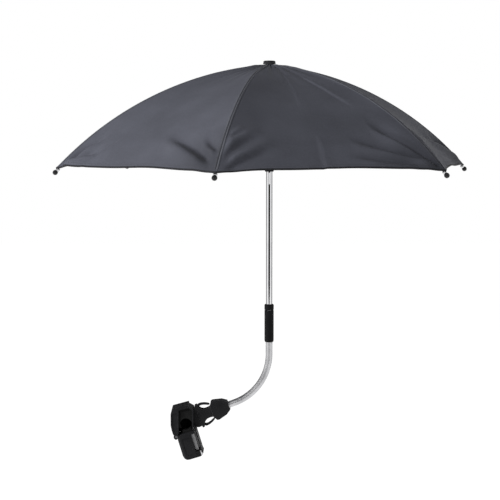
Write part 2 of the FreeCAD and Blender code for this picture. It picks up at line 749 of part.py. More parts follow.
def screw_axes():
    """Under-head points and upward axes of the two saddle screws."""
    tilt = math.radians(WEB_SLOPE_DEG)
    up = vec(-math.sin(tilt), 0, math.cos(tilt))
    return [(vec(SCREW_X, side * SCREW_Y, web_z(SCREW_X) - SCREW_SINK), up) for side in (-1, 1)]


def saddle_screws():
    screws = []
    length = WEB_T + BASE_PLATE_T - SCREW_SINK - 0.2
    for seat, up in screw_axes():
        shank = Part.makeCylinder(SCREW_R, length, seat - up * length, up)
        head = Part.makeCylinder(SCREW_HEAD_R, 1.5, seat, up)
        socket = Part.makeCylinder(1.2, 2.0, seat + up * 0.6, up)
        screws.append(union(shank, head).cut(socket))
    return group(screws)


def buckle_base():
    """Right wall and inner plate of the clamp, with the block and guide of the buckle."""
    half = CLAMP_DEPTH / 2
    out_x = FLANGE_X + FLANGE_T
    under = WEB_T + 0.05
    low = under + BASE_PLATE_T
    outline = [
        (WALL_IN_X + 0.1, web_z(WALL_IN_X + 0.1, under)),
        (WEB_END_X, web_z(WEB_END_X, under)),
        (out_x, SHOULDER_Z),
        (out_x, FLANGE_BOTTOM_Z),
        (FLANGE_X, FLANGE_BOTTOM_Z),
        (FLANGE_X, SHOULDER_Z - 1.9),
        (WEB_END_X, web_z(WEB_END_X, low)),
        (WALL_IN_X + 0.1, web_z(WALL_IN_X + 0.1, low)),
    ]
    body = prism(outline, -half, half)
    mouth = HOUSING_MOUTH_U + BUCKLE_RUN
    half_block = HOUSING_MOUTH_W - BLOCK_INSET
    upper = buckle(mouth, half_block)
    lower = buckle(mouth, -half_block)
    foot = buckle(mouth + 5.0, -half_block)
    block = [upper, lower, foot, (out_x - 1.0, FLANGE_BOTTOM_Z + 2.0), (out_x - 1.0, SHOULDER_Z - 0.6)]
    block = prism(block, -HOUSING_PLATE_T / 2, HOUSING_PLATE_T / 2)
    guide_t = HOUSING_CAVITY_T - 2 * BUCKLE_RUN
    guide = [(mouth + 1.0, GUIDE_W / 2), (GUIDE_END_U + 3, GUIDE_W / 2), (GUIDE_END_U, GUIDE_W / 2 - 1.2)]
    guide = buckle_prism(mirrored(guide), guide_t)
    body = union(body, block, guide)
    for side in (-1, 1):
        u, w = PRONG_PIVOT
        x, z = buckle(u, side * w)
        pocket_t = PRONG_T + 2 * PRONG_RUN
        pocket = cylinder(PRONG_KNUCKLE_R + PRONG_RUN, pocket_t, vec(x, 0, z), Y_AXIS)
        way = [(u - 4, w - 3.2), (u - 4, w + 6), (u + 0.4, w + 6), (u + 0.4, w - 2.6)]
        way = buckle_prism([(pu, side * pw) for pu, pw in way], pocket_t)
        body = body.cut(pocket).cut(way)
    for hole in latch_windows():
        body = body.cut(hole)
    for seat, up in screw_axes():
        body = body.cut(Part.makeCylinder(SCREW_R + 0.02, 20.0, seat + up * 2.0, up * -1.0))
    return body


CLAMP_TILT = math.radians(CLAMP_TILT_DEG)
CLAMP_D = (math.cos(CLAMP_TILT), math.sin(CLAMP_TILT))
CLAMP_N = (-CLAMP_D[1], CLAMP_D[0])


def clamp(a, b):
    """Point (x, z) at a along the jaw's top and b below it, from the tube's axis."""
    return a * CLAMP_D[0] - b * CLAMP_N[0], a * CLAMP_D[1] - b * CLAMP_N[1]


def clamp_prism(points, y0, y1):
    return prism([clamp(a, b) for a, b in points], y0, y1)


def latch_windows():
    """Two windows through the flange for the noses of the latch."""
    b0, b1 = LATCH_NOSE_B
    y0, y1 = LATCH_NOSE_Y
    windows = []
    for side in (-1, 1):
        ends = sorted((side * (y0 - 0.4), side * (y1 + 0.4)))
        outline = [(6.0, b0 - 0.5), (14.0, b0 - 0.5), (14.0, b1 + 0.15), (6.0, b1 + 0.15)]
        windows.append(clamp_prism(outline, ends[0], ends[1]))
    return windows


def saddle_pad():
    """Rubber lining with the round bed of the tube."""
    half = PAD_DEPTH / 2
    left = WALL_IN_X + 0.05
    right = FLANGE_X - 0.05
    below = WEB_T + BASE_PLATE_T + 0.15
    outline = [
        (left, web_z(left, below)),
        (WEB_END_X, web_z(WEB_END_X, below)),
        (right, SHOULDER_Z - 2.2),
        (right, 4.5),
        (0.0, 4.5),
        (0.0, -6.0),
        (left, -6.0),
    ]
    return prism(outline, -half, half).cut(cylinder(TUBE_R, 2 * PAD_DEPTH, vec(0, 0, 0), Y_AXIS))


def clamp_jaw():
    """Hinged lower jaw with its hanging grip and the foot that carries the latch."""
    half = CLAMP_DEPTH / 2
    top = clamp_prism([(-15.0, JAW_TOP_B), (8.6, JAW_TOP_B), (8.6, 18.0), (-15.0, 18.0)], -half, half)
    grip = [
        (-15.0, JAW_TOP_B + 0.6),
        (-15.0, 14.2),
        (JAW_LEFT_A + 2.0, 17.5),
        (JAW_LEFT_A, 21.0),
        (JAW_LEFT_A, 49.0),
        (JAW_LEFT_A + 1.6, 53.2),
        (JAW_LEFT_A + 5.0, JAW_BOTTOM_B - 0.8),
        (JAW_LEFT_A + 9.0, JAW_BOTTOM_B),
        (JAW_BODY_A, JAW_BOTTOM_B),
        (JAW_BODY_A, JAW_TOP_B + 0.6),
    ]
    grip = clamp_prism(grip, -half, half)
    foot = [
        (JAW_BODY_A - 1, FOOT_TOP_B),
        (LATCH_A - 3.4, FOOT_TOP_B),
        (LATCH_A + 1.0, FOOT_TOP_B + 1.0),
        (LATCH_A + 2.0, 52.0),
        (LATCH_A + 0.6, 55.2),
        (LATCH_A - 3.0, JAW_BOTTOM_B),
        (JAW_BODY_A - 1, JAW_BOTTOM_B),
    ]
    foot = clamp_prism(foot, -half, half)
    low = FOOT_TOP_B + 1.0
    web = [(JAW_BODY_A - 1, 17.0), (8.0, 17.0), (8.0, low), (JAW_BODY_A - 1, low)]
    web = clamp_prism(web, -half + CHANNEL_DEPTH, half - 3.0)
    x, z = JAW_PIN
    pivot = vec(x, 0, z)
    barrel = cylinder(JAW_KNUCKLE_R, CLAMP_DEPTH, pivot, Y_AXIS)
    body = union(top, grip, foot, web, barrel)
    gap = 2 * (JAW_KNUCKLE_HALF + JAW_RUN)
    body = body.cut(cylinder(JAW_KNUCKLE_R + 0.6, gap, pivot, Y_AXIS))
    room = [(x - 6, z), (x - 6, z + 12), (x + 6.5, z + 12), (x + 6.5, z - 0.5), (x + 4, z - 3)]
    body = body.cut(prism(room, -gap / 2, gap / 2))
    body = body.cut(cylinder(JAW_PIN_R + 0.06, 2 * CLAMP_DEPTH, pivot, Y_AXIS))
    bevel = [(JAW_LEFT_A - 1, -half - 1), (JAW_LEFT_A + 4.5, -half - 1), (JAW_LEFT_A - 1, -half + 4.5)]
    body = body.cut(jaw_bevel(bevel))
    panel = [(-14.0, 22.0), (-1.5, 22.0), (-1.5, 51.0), (-11.0, 51.0), (-14.0, 47.0)]
    body = body.cut(clamp_prism(panel, -half - 1, -half + 0.8))
    for rib_b in (50.2, 52.4, 54.6):
        groove = [(0.5, rib_b), (10.0, rib_b), (10.0, rib_b + 1.0), (0.5, rib_b + 1.0)]
        body = body.cut(clamp_prism(groove, -half - 1, -half + 0.7))
    slot = LATCH_HALF_W + 0.3
    px, pz = clamp(LATCH_A + 0.2, LATCH_PIVOT_B)
    seat = cylinder(LATCH_KNUCKLE_R + 0.35, 2 * slot, vec(px, 0, pz), Y_AXIS)
    left = LATCH_A - 2.4
    right = LATCH_A + 5.0
    way = [(left, LATCH_PIVOT_B), (left, FOOT_TOP_B - 1), (right, FOOT_TOP_B - 1), (right, LATCH_PIVOT_B)]
    body = body.cut(seat).cut(clamp_prism(way, -slot, slot))
    return body.cut(cylinder(LATCH_PIN_R + 0.02, 2 * CLAMP_DEPTH, vec(px, 0, pz), Y_AXIS))


def jaw_bevel(points):
    """Wedge along the jaw's left front edge, from (a, y) points."""
    corners = []
    for a, y in points:
        x, z = clamp(a, 18.5)
        corners.append(vec(x, y, z))
    face = Part.Face(Part.makePolygon(corners + corners[:1]))
    return face.extrude(vec(-CLAMP_N[0], 0, -CLAMP_N[1]) * 60.0)


def jaw_pad():
    """Rubber pad on the jaw, hollowed to the tube."""
    half = PAD_DEPTH / 2
    outline = [(-8.5, 8.0), (5.5, 8.0), (6.5, JAW_TOP_B - 0.02), (-10.0, JAW_TOP_B - 0.02)]
    pad = clamp_prism(outline, -half, half)
    return pad.cut(cylinder(TUBE_R, 2 * PAD_DEPTH, vec(0, 0, 0), Y_AXIS))


def jaw_plate():
    """Steel strip lying in the open channel of the jaw."""
    front = -CLAMP_DEPTH / 2 + CHANNEL_DEPTH
    left = JAW_BODY_A + 0.2
    low = FOOT_TOP_B - 0.5
    outline = [(left, 18.5), (7.8, 18.5), (7.8, low), (left, low)]
    return clamp_prism(outline, front - 1.2, front - 0.02)


def clamp_latch():
    """Snap latch: plate beside the jaw, knuckle below, two noses that enter the flange."""
    px, pz = clamp(LATCH_A + 0.2, LATCH_PIVOT_B)
    knuckle = cylinder(LATCH_KNUCKLE_R, 2 * LATCH_HALF_W, vec(px, 0, pz), Y_AXIS)
    right = LATCH_A + LATCH_T
    plate = [(LATCH_A, LATCH_PIVOT_B), (LATCH_A, 15.0), (right, 15.0), (right, LATCH_PIVOT_B)]
    plate = clamp_prism(plate, -LATCH_HALF_W, LATCH_HALF_W)
    b0, b1 = LATCH_NOSE_B
    y0, y1 = LATCH_NOSE_Y
    fingers = []
    for side in (-1, 1):
        ends = sorted((side * y0, side * y1))
        finger = [
            (LATCH_A, 16.0),
            (LATCH_A, b1),
            (LATCH_A - 1.2, b1),
            (LATCH_A - 1.2, b0 + 1.0),
            (LATCH_A + 0.6, b0),
            (right, b0 + 0.6),
            (right, 16.0),
        ]
        fingers.append(clamp_prism(finger, ends[0], ends[1]))
    body = union(plate, knuckle, *fingers)
    return body.cut(cylinder(LATCH_PIN_R + 0.06, 4 * LATCH_HALF_W, vec(px, 0, pz), Y_AXIS))


def jaw_pin():
    x, z = JAW_PIN
    return cylinder(JAW_PIN_R, CLAMP_DEPTH - 0.6, vec(x, 0, z), Y_AXIS)


def latch_pin():
    x, z = clamp(LATCH_A + 0.2, LATCH_PIVOT_B)
    return cylinder(LATCH_PIN_R, CLAMP_DEPTH - 0.6, vec(x, 0, z), Y_AXIS)


def all_nodes():
    """Every piece of the parasol by node name."""
    nodes = {
        "saddle": saddle(),
        "saddle_screws": saddle_screws(),
        "buckle_base": buckle_base(),
        "saddle_pad": saddle_pad(),
        "jaw_pin": jaw_pin(),
        "clamp_jaw": clamp_jaw(),
        "jaw_pad": jaw_pad(),
        "jaw_plate": jaw_plate(),
        "clamp_latch": clamp_latch(),
        "latch_pin": latch_pin(),
        "release_prong_upper": prong(1),
        "release_prong_lower": prong(-1),
        "buckle_housing": buckle_housing(),
        "neck_lower": neck_lower(),
        "neck_middle": neck_middle(),
        "neck_upper": neck_upper(),
        "coupling_sleeve": coupling_sleeve(),
        "sleeve_collar": sleeve_collar(),
        "shaft": shaft(),
        "catch_spring": catch_spring(),
        "runner": runner(),
        "runner_wire": ring_wire(RUNNER_PIVOT_Z),
        "crown": crown(),
        "crown_wire": ring_wire(HINGE_Z),
        "top_cap": top_cap(),
    }
    patterns = {
        "rib": rib(),
        "rib_clip": rib_clip(),
        "rib_tip": rib_tip(),
        "stretcher": stretcher(),
        "canopy": cover_share(),
    }
    for name, shape in patterns.items():
        for index in range(RIB_COUNT):
            nodes[f"{name}_{index + 1}"] = to_rib(shape, index)
    return nodes


def export():
    os.makedirs("parts", exist_ok=True)
    for name, shape in all_nodes().items():
        solids = shape.Solids
        print(name, "solids", len(solids), "valid", shape.isValid(), "mm3", round(shape.Volume, 1))
        shape.exportStep(f"parts/{name}.step")


if __name__ == "__main__":
    export()
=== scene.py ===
"""Dresses the pram parasol: sewn cover, wound neck, moulded plastic, metal, studio and camera."""

import json
import logging
import math
from dataclasses import dataclass
from enum import Enum
from typing import ClassVar

import bmesh
import bpy
import numpy as np
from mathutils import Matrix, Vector


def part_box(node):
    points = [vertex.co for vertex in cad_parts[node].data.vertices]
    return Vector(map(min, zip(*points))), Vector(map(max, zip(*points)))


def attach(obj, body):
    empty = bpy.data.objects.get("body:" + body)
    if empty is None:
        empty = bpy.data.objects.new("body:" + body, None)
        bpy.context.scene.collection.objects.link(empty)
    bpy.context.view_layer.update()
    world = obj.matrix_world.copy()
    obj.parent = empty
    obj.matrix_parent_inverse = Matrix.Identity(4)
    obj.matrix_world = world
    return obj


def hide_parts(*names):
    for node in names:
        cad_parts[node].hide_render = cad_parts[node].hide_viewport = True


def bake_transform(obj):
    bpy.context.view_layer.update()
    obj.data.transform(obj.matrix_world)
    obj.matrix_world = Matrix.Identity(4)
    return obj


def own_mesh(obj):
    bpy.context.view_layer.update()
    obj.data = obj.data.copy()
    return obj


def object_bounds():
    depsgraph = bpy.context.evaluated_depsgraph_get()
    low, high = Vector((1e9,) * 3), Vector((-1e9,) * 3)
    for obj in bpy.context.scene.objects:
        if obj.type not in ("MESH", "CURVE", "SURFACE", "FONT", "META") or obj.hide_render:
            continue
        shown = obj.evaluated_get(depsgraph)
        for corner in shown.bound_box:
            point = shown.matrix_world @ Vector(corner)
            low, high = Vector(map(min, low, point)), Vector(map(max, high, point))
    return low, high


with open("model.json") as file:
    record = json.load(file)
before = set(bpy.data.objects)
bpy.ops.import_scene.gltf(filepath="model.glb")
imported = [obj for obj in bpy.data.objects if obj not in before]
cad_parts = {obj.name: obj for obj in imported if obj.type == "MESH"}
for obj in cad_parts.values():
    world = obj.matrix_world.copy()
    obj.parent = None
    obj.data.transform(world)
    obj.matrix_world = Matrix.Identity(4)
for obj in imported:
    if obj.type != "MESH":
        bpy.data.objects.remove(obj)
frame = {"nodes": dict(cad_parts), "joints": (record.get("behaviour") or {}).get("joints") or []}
CAD_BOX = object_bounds()

MM = 0.001
LOG = logging.getLogger("parasol")
RIBS = 6
TINY = 1e-9
SHORTEST = 1e-12
FULL_TURN = 2.0 * math.pi
WHITE = (1.0, 1.0, 1.0, 1.0)
NO_ROW = -1.0

Colour = tuple[float, float, float]
Place = tuple[float, float, float]
Points = np.ndarray


class Signal:
    """A shader socket that takes part in Python arithmetic."""

    cloud_band: ClassVar[tuple[float, float]] = (0.3, 0.7)

    def __init__(self, graph: "Graph", socket: bpy.types.NodeSocket) -> None:
        """Holds the socket and the graph that new nodes go to."""
        self.graph = graph
        self.socket = socket

    def maths(self, operation: str, *others: "Signal | float", first: bool = True) -> "Signal":
        """Adds one Math node.

        Args:
            operation: the node's operation.
            others: the other operands.
            first: whether this signal is the first operand.

        Returns:
            The node's result.
        """
        operands = [self, *others] if first else [*others, self]
        node = self.graph.node("ShaderNodeMath", {"operation": operation}, dict(enumerate(operands)))
        return Signal(self.graph, node.outputs[0])

    def __add__(self, other: "Signal | float") -> "Signal":
        """Sum."""
        return self.maths("ADD", other)

    __radd__ = __add__

    def __sub__(self, other: "Signal | float") -> "Signal":
        """Difference."""
        return self.maths("SUBTRACT", other)

    def __rsub__(self, other: float) -> "Signal":
        """Difference from a number."""
        return self.maths("SUBTRACT", other, first=False)

    def __mul__(self, other: "Signal | float") -> "Signal":
        """Product."""
        return self.maths("MULTIPLY", other)

    __rmul__ = __mul__

    def __truediv__(self, other: "Signal | float") -> "Signal":
        """Quotient."""
        return self.maths("DIVIDE", other)

    def __rtruediv__(self, other: float) -> "Signal":
        """Quotient of a number by this signal."""
        return self.maths("DIVIDE", other, first=False)

    def wave(self, period: float) -> "Signal":
        """Sine of this signal with a period, from 0 to 1."""
        return (self * (FULL_TURN / period)).maths("SINE") * 0.5 + 0.5

    def near(self, place: float, half_width: float) -> "Signal":
        """1 where this signal is within half_width of a place, and 0 elsewhere."""
        return self.maths("COMPARE", place, half_width)

    def ramp(self, low: float, high: float) -> "Signal":
        """Rises from 0 to 1 as this signal goes from low to high, and stays within."""
        return ((self - low) / (high - low)).maths("MINIMUM", 1.0).maths("MAXIMUM", 0.0)

    def clouds(self) -> "Signal":
        """Stretches the middle of a noise's range to 0 to 1."""
        return self.ramp(*self.cloud_band)


class Graph:
    """The node tree of one material or world."""

    mix_factor: ClassVar[int] = 0
    mix_under: ClassVar[int] = 6
    mix_top: ClassVar[int] = 7
    mix_result: ClassVar[int] = 2

    def __init__(self, tree: bpy.types.NodeTree) -> None:
        """Empties the tree."""
        self.tree = tree
        tree.nodes.clear()

    def node(
        self, kind: str, settings: dict | None = None, inputs: dict | None = None
    ) -> bpy.types.Node:
        """Adds a node.

        Args:
            kind: the node's type.
            settings: properties, set first; "stops" fills a colour ramp.
            inputs: values or signals by socket name or number.

        Returns:
            The new node.
        """
        made = self.tree.nodes.new(kind)
        for key, value in (settings or {}).items():
            if key == "stops":
                self._fill_ramp(made.color_ramp, value)
            else:
                setattr(made, key, value)
        for key, value in (inputs or {}).items():
            if isinstance(value, Signal):
                self.tree.links.new(value.socket, made.inputs[key])
            else:
                made.inputs[key].default_value = value
        return made

    @staticmethod
    def _fill_ramp(ramp: bpy.types.ColorRamp, stops: list[tuple[float, Colour]]) -> None:
        """Sets a ramp's stops.

        Args:
            ramp: the ramp.
            stops: the place and colour of each stop.
        """
        while len(ramp.elements) < len(stops):
            ramp.elements.new(0.5)
        for element, (place, colour) in zip(ramp.elements, stops):
            element.position = place
            element.color = (*colour, 1.0)

    def signal(
        self, kind: str, output: str | int, settings: dict | None = None, **inputs: object
    ) -> Signal:
        """Adds a node and gives one of its outputs; input names have _ for spaces."""
        named = {key.replace("_", " "): value for key, value in inputs.items()}
        return Signal(self, self.node(kind, settings, named).outputs[output])

    def place(self) -> Signal:
        """The point on the piece in its own frame, in metres."""
        return self.signal("ShaderNodeTexCoord", "Object")

    def flat(self) -> tuple[Signal, Signal]:
        """The two flat coordinates of the piece's UV map."""
        split = self.node("ShaderNodeSeparateXYZ", None, {0: self.signal("ShaderNodeTexCoord", "UV")})
        return Signal(self, split.outputs[0]), Signal(self, split.outputs[1])

    def noise(self, vector: Signal, scale: float, detail: float = 2.0) -> Signal:
        """Smooth noise around 0.5."""
        return self.signal("ShaderNodeTexNoise", 0, None, Vector=vector, Scale=scale, Detail=detail)

    def stretched(self, vector: Signal, scales: tuple[float, float, float]) -> Signal:
        """A vector with each axis scaled on its own."""
        node = self.node("ShaderNodeVectorMath", {"operation": "MULTIPLY"}, {0: vector, 1: scales})
        return Signal(self, node.outputs[0])

    def tint(self, factor: Signal, low: Colour, high: Colour) -> Signal:
        """A colour between two, by a factor from 0 to 1."""
        stops = [(0.0, low), (1.0, high)]
        return self.signal("ShaderNodeValToRGB", 0, {"stops": stops}, Fac=factor)

    def over(self, factor: Signal, under: Signal, top: Colour) -> Signal:
        """Lays one colour over another.

        Args:
            factor: how much of the top colour shows, from 0 to 1.
            under: the colour underneath.
            top: the colour on top.

        Returns:
            The mixed colour.
        """
        inputs = {self.mix_factor: factor, self.mix_under: under, self.mix_top: (*top, 1.0)}
        mix = self.node("ShaderNodeMix", {"data_type": "RGBA"}, inputs)
        return Signal(self, mix.outputs[self.mix_result])

    def bump(self, height: Signal, distance: float, strength: float) -> Signal:
        """A normal from a height of 0 to 1, where 1 stands for a distance in metres."""
        inputs = {"Height": height, "Distance": distance, "Strength": strength}
        return Signal(self, self.node("ShaderNodeBump", None, inputs).outputs[0])

    def seen(self) -> Signal:
        """Tells what is looked at from what only lights.

        Returns:
            1 for rays from the camera, from reflections and through clear pieces, and 0 for others.
        """
        path = self.node("ShaderNodeLightPath")
        seen = Signal(self, path.outputs["Is Camera Ray"])
        for name in ("Is Glossy Ray", "Is Transmission Ray"):
            seen = seen.maths("MAXIMUM", Signal(self, path.outputs[name]))
        return seen

    def send(self, shader: bpy.types.Node, output: str = "ShaderNodeOutputMaterial") -> None:
        """Sends a shader to the tree's output."""
        self.node(output, None, {"Surface": Signal(self, shader.outputs[0])})


def new_material(name: str) -> tuple[bpy.types.Material, Graph]:
    """Makes a material with an empty node tree.

    Args:
        name: the material's name.

    Returns:
        The material, and its node tree.
    """
    material = bpy.data.materials.new(name)
    material.use_nodes = True
    return material, Graph(material.node_tree)


class Finish:
    """A surface finish that gives one material, made once."""

    name = "finish"
    made: dict[str, bpy.types.Material] = {}

    def material(self) -> bpy.types.Material:
        """Makes the finish's material at its first use.

        Returns:
            The material.
        """
        if self.name not in Finish.made:
            material, graph = new_material(self.name)
            graph.send(graph.node("ShaderNodeBsdfPrincipled", None, self.dress(graph)))
            Finish.made[self.name] = material
        return Finish.made[self.name]

    def dress(self, graph: Graph) -> dict:
        """Inputs of the finish's Principled shader, by socket name."""
        raise NotImplementedError


@dataclass(frozen=True)
class Cloth(Finish):
    """Tight polyester weave with stitching, and painted shade on one side of each rib's tip, darkest
    near the tip.

    Colours vary by shares of blotch and slub, and the relief by shares of weave, slub and stitches.
    """

    name: str = "charcoal_cloth"
    dark: Colour = (0.064, 0.0661, 0.08)
    light: Colour = (0.0864, 0.0896, 0.109)
    thread_and_groove_shade: Colour = (0.048, 0.048, 0.0528)
    # corner and the four fields after it set the painted shade: darker cloth on one side of each rib's
    # tip, standing in for the shade of the folds there.
    corner: Colour = (0.016, 0.0165, 0.0192)
    painted_shade_wide: float = 118.0 * MM
    painted_shade_high: float = 100.0 * MM
    painted_shade_core: float = 0.05
    painted_shade_share: float = 0.55
    yarn: float = 0.42 * MM
    stitch: float = 2.6 * MM
    stitch_edge: tuple[float, float] = (0.3, 0.4)
    hem_row: float = 5.0 * MM
    seam_row: float = 2.5 * MM
    row_half: float = 0.3 * MM
    # Half width of the seam's groove, painted dark in the thread's colour as shade; 0 for none.
    groove: float = 0.0
    blotch_scale: float = 14.0
    slub_scale: float = 420.0
    colour_shares: tuple[float, float] = (0.7, 0.3)
    relief_shares: tuple[float, float, float] = (0.25, 0.35, 0.4)
    relief: float = 0.12 * MM
    relief_strength: float = 0.6
    rough: float = 0.55
    rough_swing: float = 0.14
    gloss: float = 0.1
    sheen: float = 0.02
    sheen_rough: float = 0.5

    def stitches(self, across: Signal, up: Signal) -> Signal:
        """Marks the rows of stitches along hem and seam, and the seam's groove, which is painted dark as
        its shade.

        Args:
            across: distance from the rib along the cloth.
            up: distance from the hem along the cloth.

        Returns:
            1 on a stitch or in the groove, and 0 elsewhere.
        """
        off_seam = across.maths("ABSOLUTE")
        hem = up.near(self.hem_row, self.row_half) * across.wave(self.stitch).ramp(*self.stitch_edge)
        seam = off_seam.near(self.seam_row, self.row_half) * up.wave(self.stitch).ramp(*self.stitch_edge)
        rows = hem.maths("MAXIMUM", seam)
        # Painted shade: the groove takes the dark thread colour.
        if self.groove > 0.0:
            rows = rows.maths("MAXIMUM", off_seam.maths("LESS_THAN", self.groove))
        return rows

    def dress(self, graph: Graph) -> dict:
        """Works out the inputs of the finish's Principled shader.

        Args:
            graph: the material's node tree.

        Returns:
            Values and signals by socket name.
        """
        across, up = graph.flat()
        place = graph.place()
        weave = across.wave(self.yarn) * up.wave(self.yarn)
        blotch = graph.noise(place, self.blotch_scale, detail=3.0)
        slub = graph.noise(place, self.slub_scale, detail=1.0)
        by_blotch, by_slub = self.colour_shares
        colour = graph.tint((blotch * by_blotch + slub * by_slub).clouds(), self.dark, self.light)
        # Painted shade: the colour darkens towards each rib's tip, on one side of the rib only.
        wide = across * (1.0 / self.painted_shade_wide)
        high = up * (1.0 / self.painted_shade_high)
        painted_tip_shade = (wide * wide + high * high).ramp(1.0, self.painted_shade_core)
        painted_tip_shade = painted_tip_shade * across.maths("LESS_THAN", 0.0)
        colour = graph.over(painted_tip_shade * self.painted_shade_share, colour, self.corner)
        rows = self.stitches(across, up)
        of_weave, of_slub, of_rows = self.relief_shares
        height = weave * of_weave + slub * of_slub + rows * of_rows
        return {
            "Base Color": graph.over(rows, colour, self.thread_and_groove_shade),
            "Roughness": blotch * self.rough_swing + self.rough,
            "Normal": graph.bump(height, self.relief, self.relief_strength),
            "Specular IOR Level": self.gloss,
            "Sheen Weight": self.sheen,
            "Sheen Roughness": self.sheen_rough,
        }


@dataclass(frozen=True)
class Moulded(Finish):
    """Satin moulded plastic with a spark-eroded grain."""

    name: str = "black_moulding"
    dark: Colour = (0.00832, 0.00832, 0.00928)
    light: Colour = (0.0136, 0.0136, 0.0147)
    rough: float = 0.46
    rough_swing: float = 0.16
    flow_scale: float = 45.0
    grain: float = 1900.0
    relief: float = 0.05 * MM
    relief_strength: float = 0.35
    gloss: float = 0.09

    def dress(self, graph: Graph) -> dict:
        """Works out the inputs of the finish's Principled shader.

        Args:
            graph: the material's node tree.

        Returns:
            Values and signals by socket name.
        """
        place = graph.place()
        flow = graph.noise(place, self.flow_scale, detail=3.0)
        grain = graph.noise(place, self.grain)
        return {
            "Base Color": graph.tint(flow.clouds(), self.dark, self.light),
            "Roughness": flow * self.rough_swing + (self.rough - self.rough_swing / 2.0),
            "Normal": graph.bump(grain, self.relief, self.relief_strength),
            "Specular IOR Level": self.gloss,
        }


@dataclass(frozen=True)
class Metal(Finish):
    """Plated metal with draw lines along one axis and slight smudges."""

    name: str = "metal"
    dark: Colour = (0.5, 0.5, 0.52)
    light: Colour = (0.62, 0.62, 0.64)
    rough: float = 0.28
    smudge: float = 0.12
    cloud_scale: float = 60.0
    lines: tuple[float, float, float] = (900.0, 900.0, 12.0)
    relief: float = 0.012 * MM
    relief_strength: float = 0.4

    def dress(self, graph: Graph) -> dict:
        """Works out the inputs of the finish's Principled shader.

        Args:
            graph: the material's node tree.

        Returns:
            Values and signals by socket name.
        """
        place = graph.place()
        drawn = graph.noise(graph.stretched(place, self.lines), 1.0)
        cloud = graph.noise(place, self.cloud_scale, detail=3.0)
        return {
            "Base Color": graph.tint(cloud.clouds(), self.dark, self.light),
            "Metallic": 1.0,
            "Roughness": cloud * self.smudge + (self.rough - self.smudge / 2.0),
            "Normal": graph.bump(drawn, self.relief, self.relief_strength),
        }


BLACK = Moulded()
SLEEVE = Moulded(
    name="sleeve_moulding",
    dark=(0.00416, 0.00416, 0.00448),
    light=(0.0064, 0.0064, 0.00688),
    gloss=0.1,
)
# Painted highlight: a lighter colour for rounded edges, where they would catch the light.
PAINTED_EDGE_HIGHLIGHT = Moulded(
    name="black_moulding_painted_highlight",
    dark=(0.0352, 0.0352, 0.0376),
    light=(0.064, 0.064, 0.0672),
    rough=0.34,
    gloss=0.3,
)
GLOSS = Moulded(name="black_ball_gloss", rough=0.24, gloss=0.3)
# Painted shade: near black, for the lips that stand in for the shaded throat of the clamp.
THROAT_PAINTED_SHADE = Moulded(
    name="throat_painted_shade",
    dark=(0.0024, 0.0024, 0.0024),
    light=(0.0048, 0.0048, 0.0048),
    rough=0.9,
    gloss=0.02,
)
RUBBER = Moulded(
    name="soft_rubber",
    dark=(0.008, 0.008, 0.008),
    light=(0.0128, 0.0128, 0.0128),
    rough=0.8,
    gloss=0.05,
)
CHROME = Metal(
    name="chrome_tube",
    dark=(0.7, 0.7, 0.715),
    light=(0.8, 0.8, 0.81),
    rough=0.07,
    smudge=0.04,
    relief=0.002 * MM,
)
WIRE = Metal(
    name="plated_wire",
    dark=(0.512, 0.512, 0.537),
    light=(0.732, 0.732, 0.756),
    rough=0.3,
    lines=(500.0, 500.0, 500.0),
)
DARK_STEEL = Metal(
    name="blacked_steel", dark=(0.078, 0.078, 0.0806), light=(0.156, 0.156, 0.161), rough=0.36
)
STRIP = Metal(name="spring_strip", dark=(0.17, 0.17, 0.175), light=(0.27, 0.27, 0.276), rough=0.34)
STEEL = Metal(name="bright_steel", dark=(0.6, 0.6, 0.612), light=(0.792, 0.792, 0.804), rough=0.24)
WOUND = Metal(
    name="wound_strip",
    dark=(0.475, 0.475, 0.488),
    light=(0.66, 0.66, 0.673),
    rough=0.3,
    smudge=0.14,
)
CLOTH = Cloth()
SEAM = Cloth(
    name="seam_cloth",
    dark=(0.0928, 0.096, 0.112),
    light=(0.118, 0.122, 0.141),
    thread_and_groove_shade=(0.0224, 0.0224, 0.0256),
    # Painted shade: a dark band in the seam's groove.
    groove=0.75 * MM,
    row_half=0.22 * MM,
)
# Painted shade: the turned hem is coloured near black for the shadow beneath it.
BINDING_PAINTED_SHADE = Cloth(
    name="hem_binding_painted_shade",
    dark=(0.016, 0.016, 0.0176),
    light=(0.0256, 0.0256, 0.0288),
    hem_row=NO_ROW,
)


class Slot(Enum):
    """The names of the record's material slots."""

    FABRIC = "cover_fabric"
    NECK = "neck_steel"
    RUBBER = "rubber"
    RIB = "rib_steel"
    STEEL = "steel"


def new_piece(
    name: str, points: Points, faces: list, finish: Finish, sharp: set | None = None
) -> bpy.types.Object:
    """Makes a smooth-shaded mesh object.

    Args:
        name: the piece's name.
        points: vertices in the row frame, in metres.
        faces: vertex numbers of each face.
        finish: the finish that it gets.
        sharp: edges, as sorted pairs of vertex numbers, that stay sharp.

    Returns:
        The new object, linked to the scene.
    """
    mesh = bpy.data.meshes.new(name)
    mesh.from_pydata([tuple(p) for p in points], [], faces)
    mesh.polygons.foreach_set("use_smooth", [True] * len(mesh.polygons))
    if sharp:
        for edge in mesh.edges:
            if tuple(sorted(edge.vertices)) in sharp:
                edge.use_edge_sharp = True
    mesh.update()
    piece = bpy.data.objects.new(name, mesh)
    bpy.context.scene.collection.objects.link(piece)
    piece.data.materials.append(finish.material())
    return piece


def lay_flat(piece: bpy.types.Object, flat: Points) -> None:
    """Gives a mesh a UV map.

    Args:
        piece: the mesh object.
        flat: flat coordinates in metres, one pair per vertex.
    """
    layer = piece.data.uv_layers.new(name="flat")
    loops = np.zeros(len(piece.data.loops), dtype=np.int64)
    piece.data.loops.foreach_get("vertex_index", loops)
    layer.data.foreach_set("uv", flat[loops].ravel())


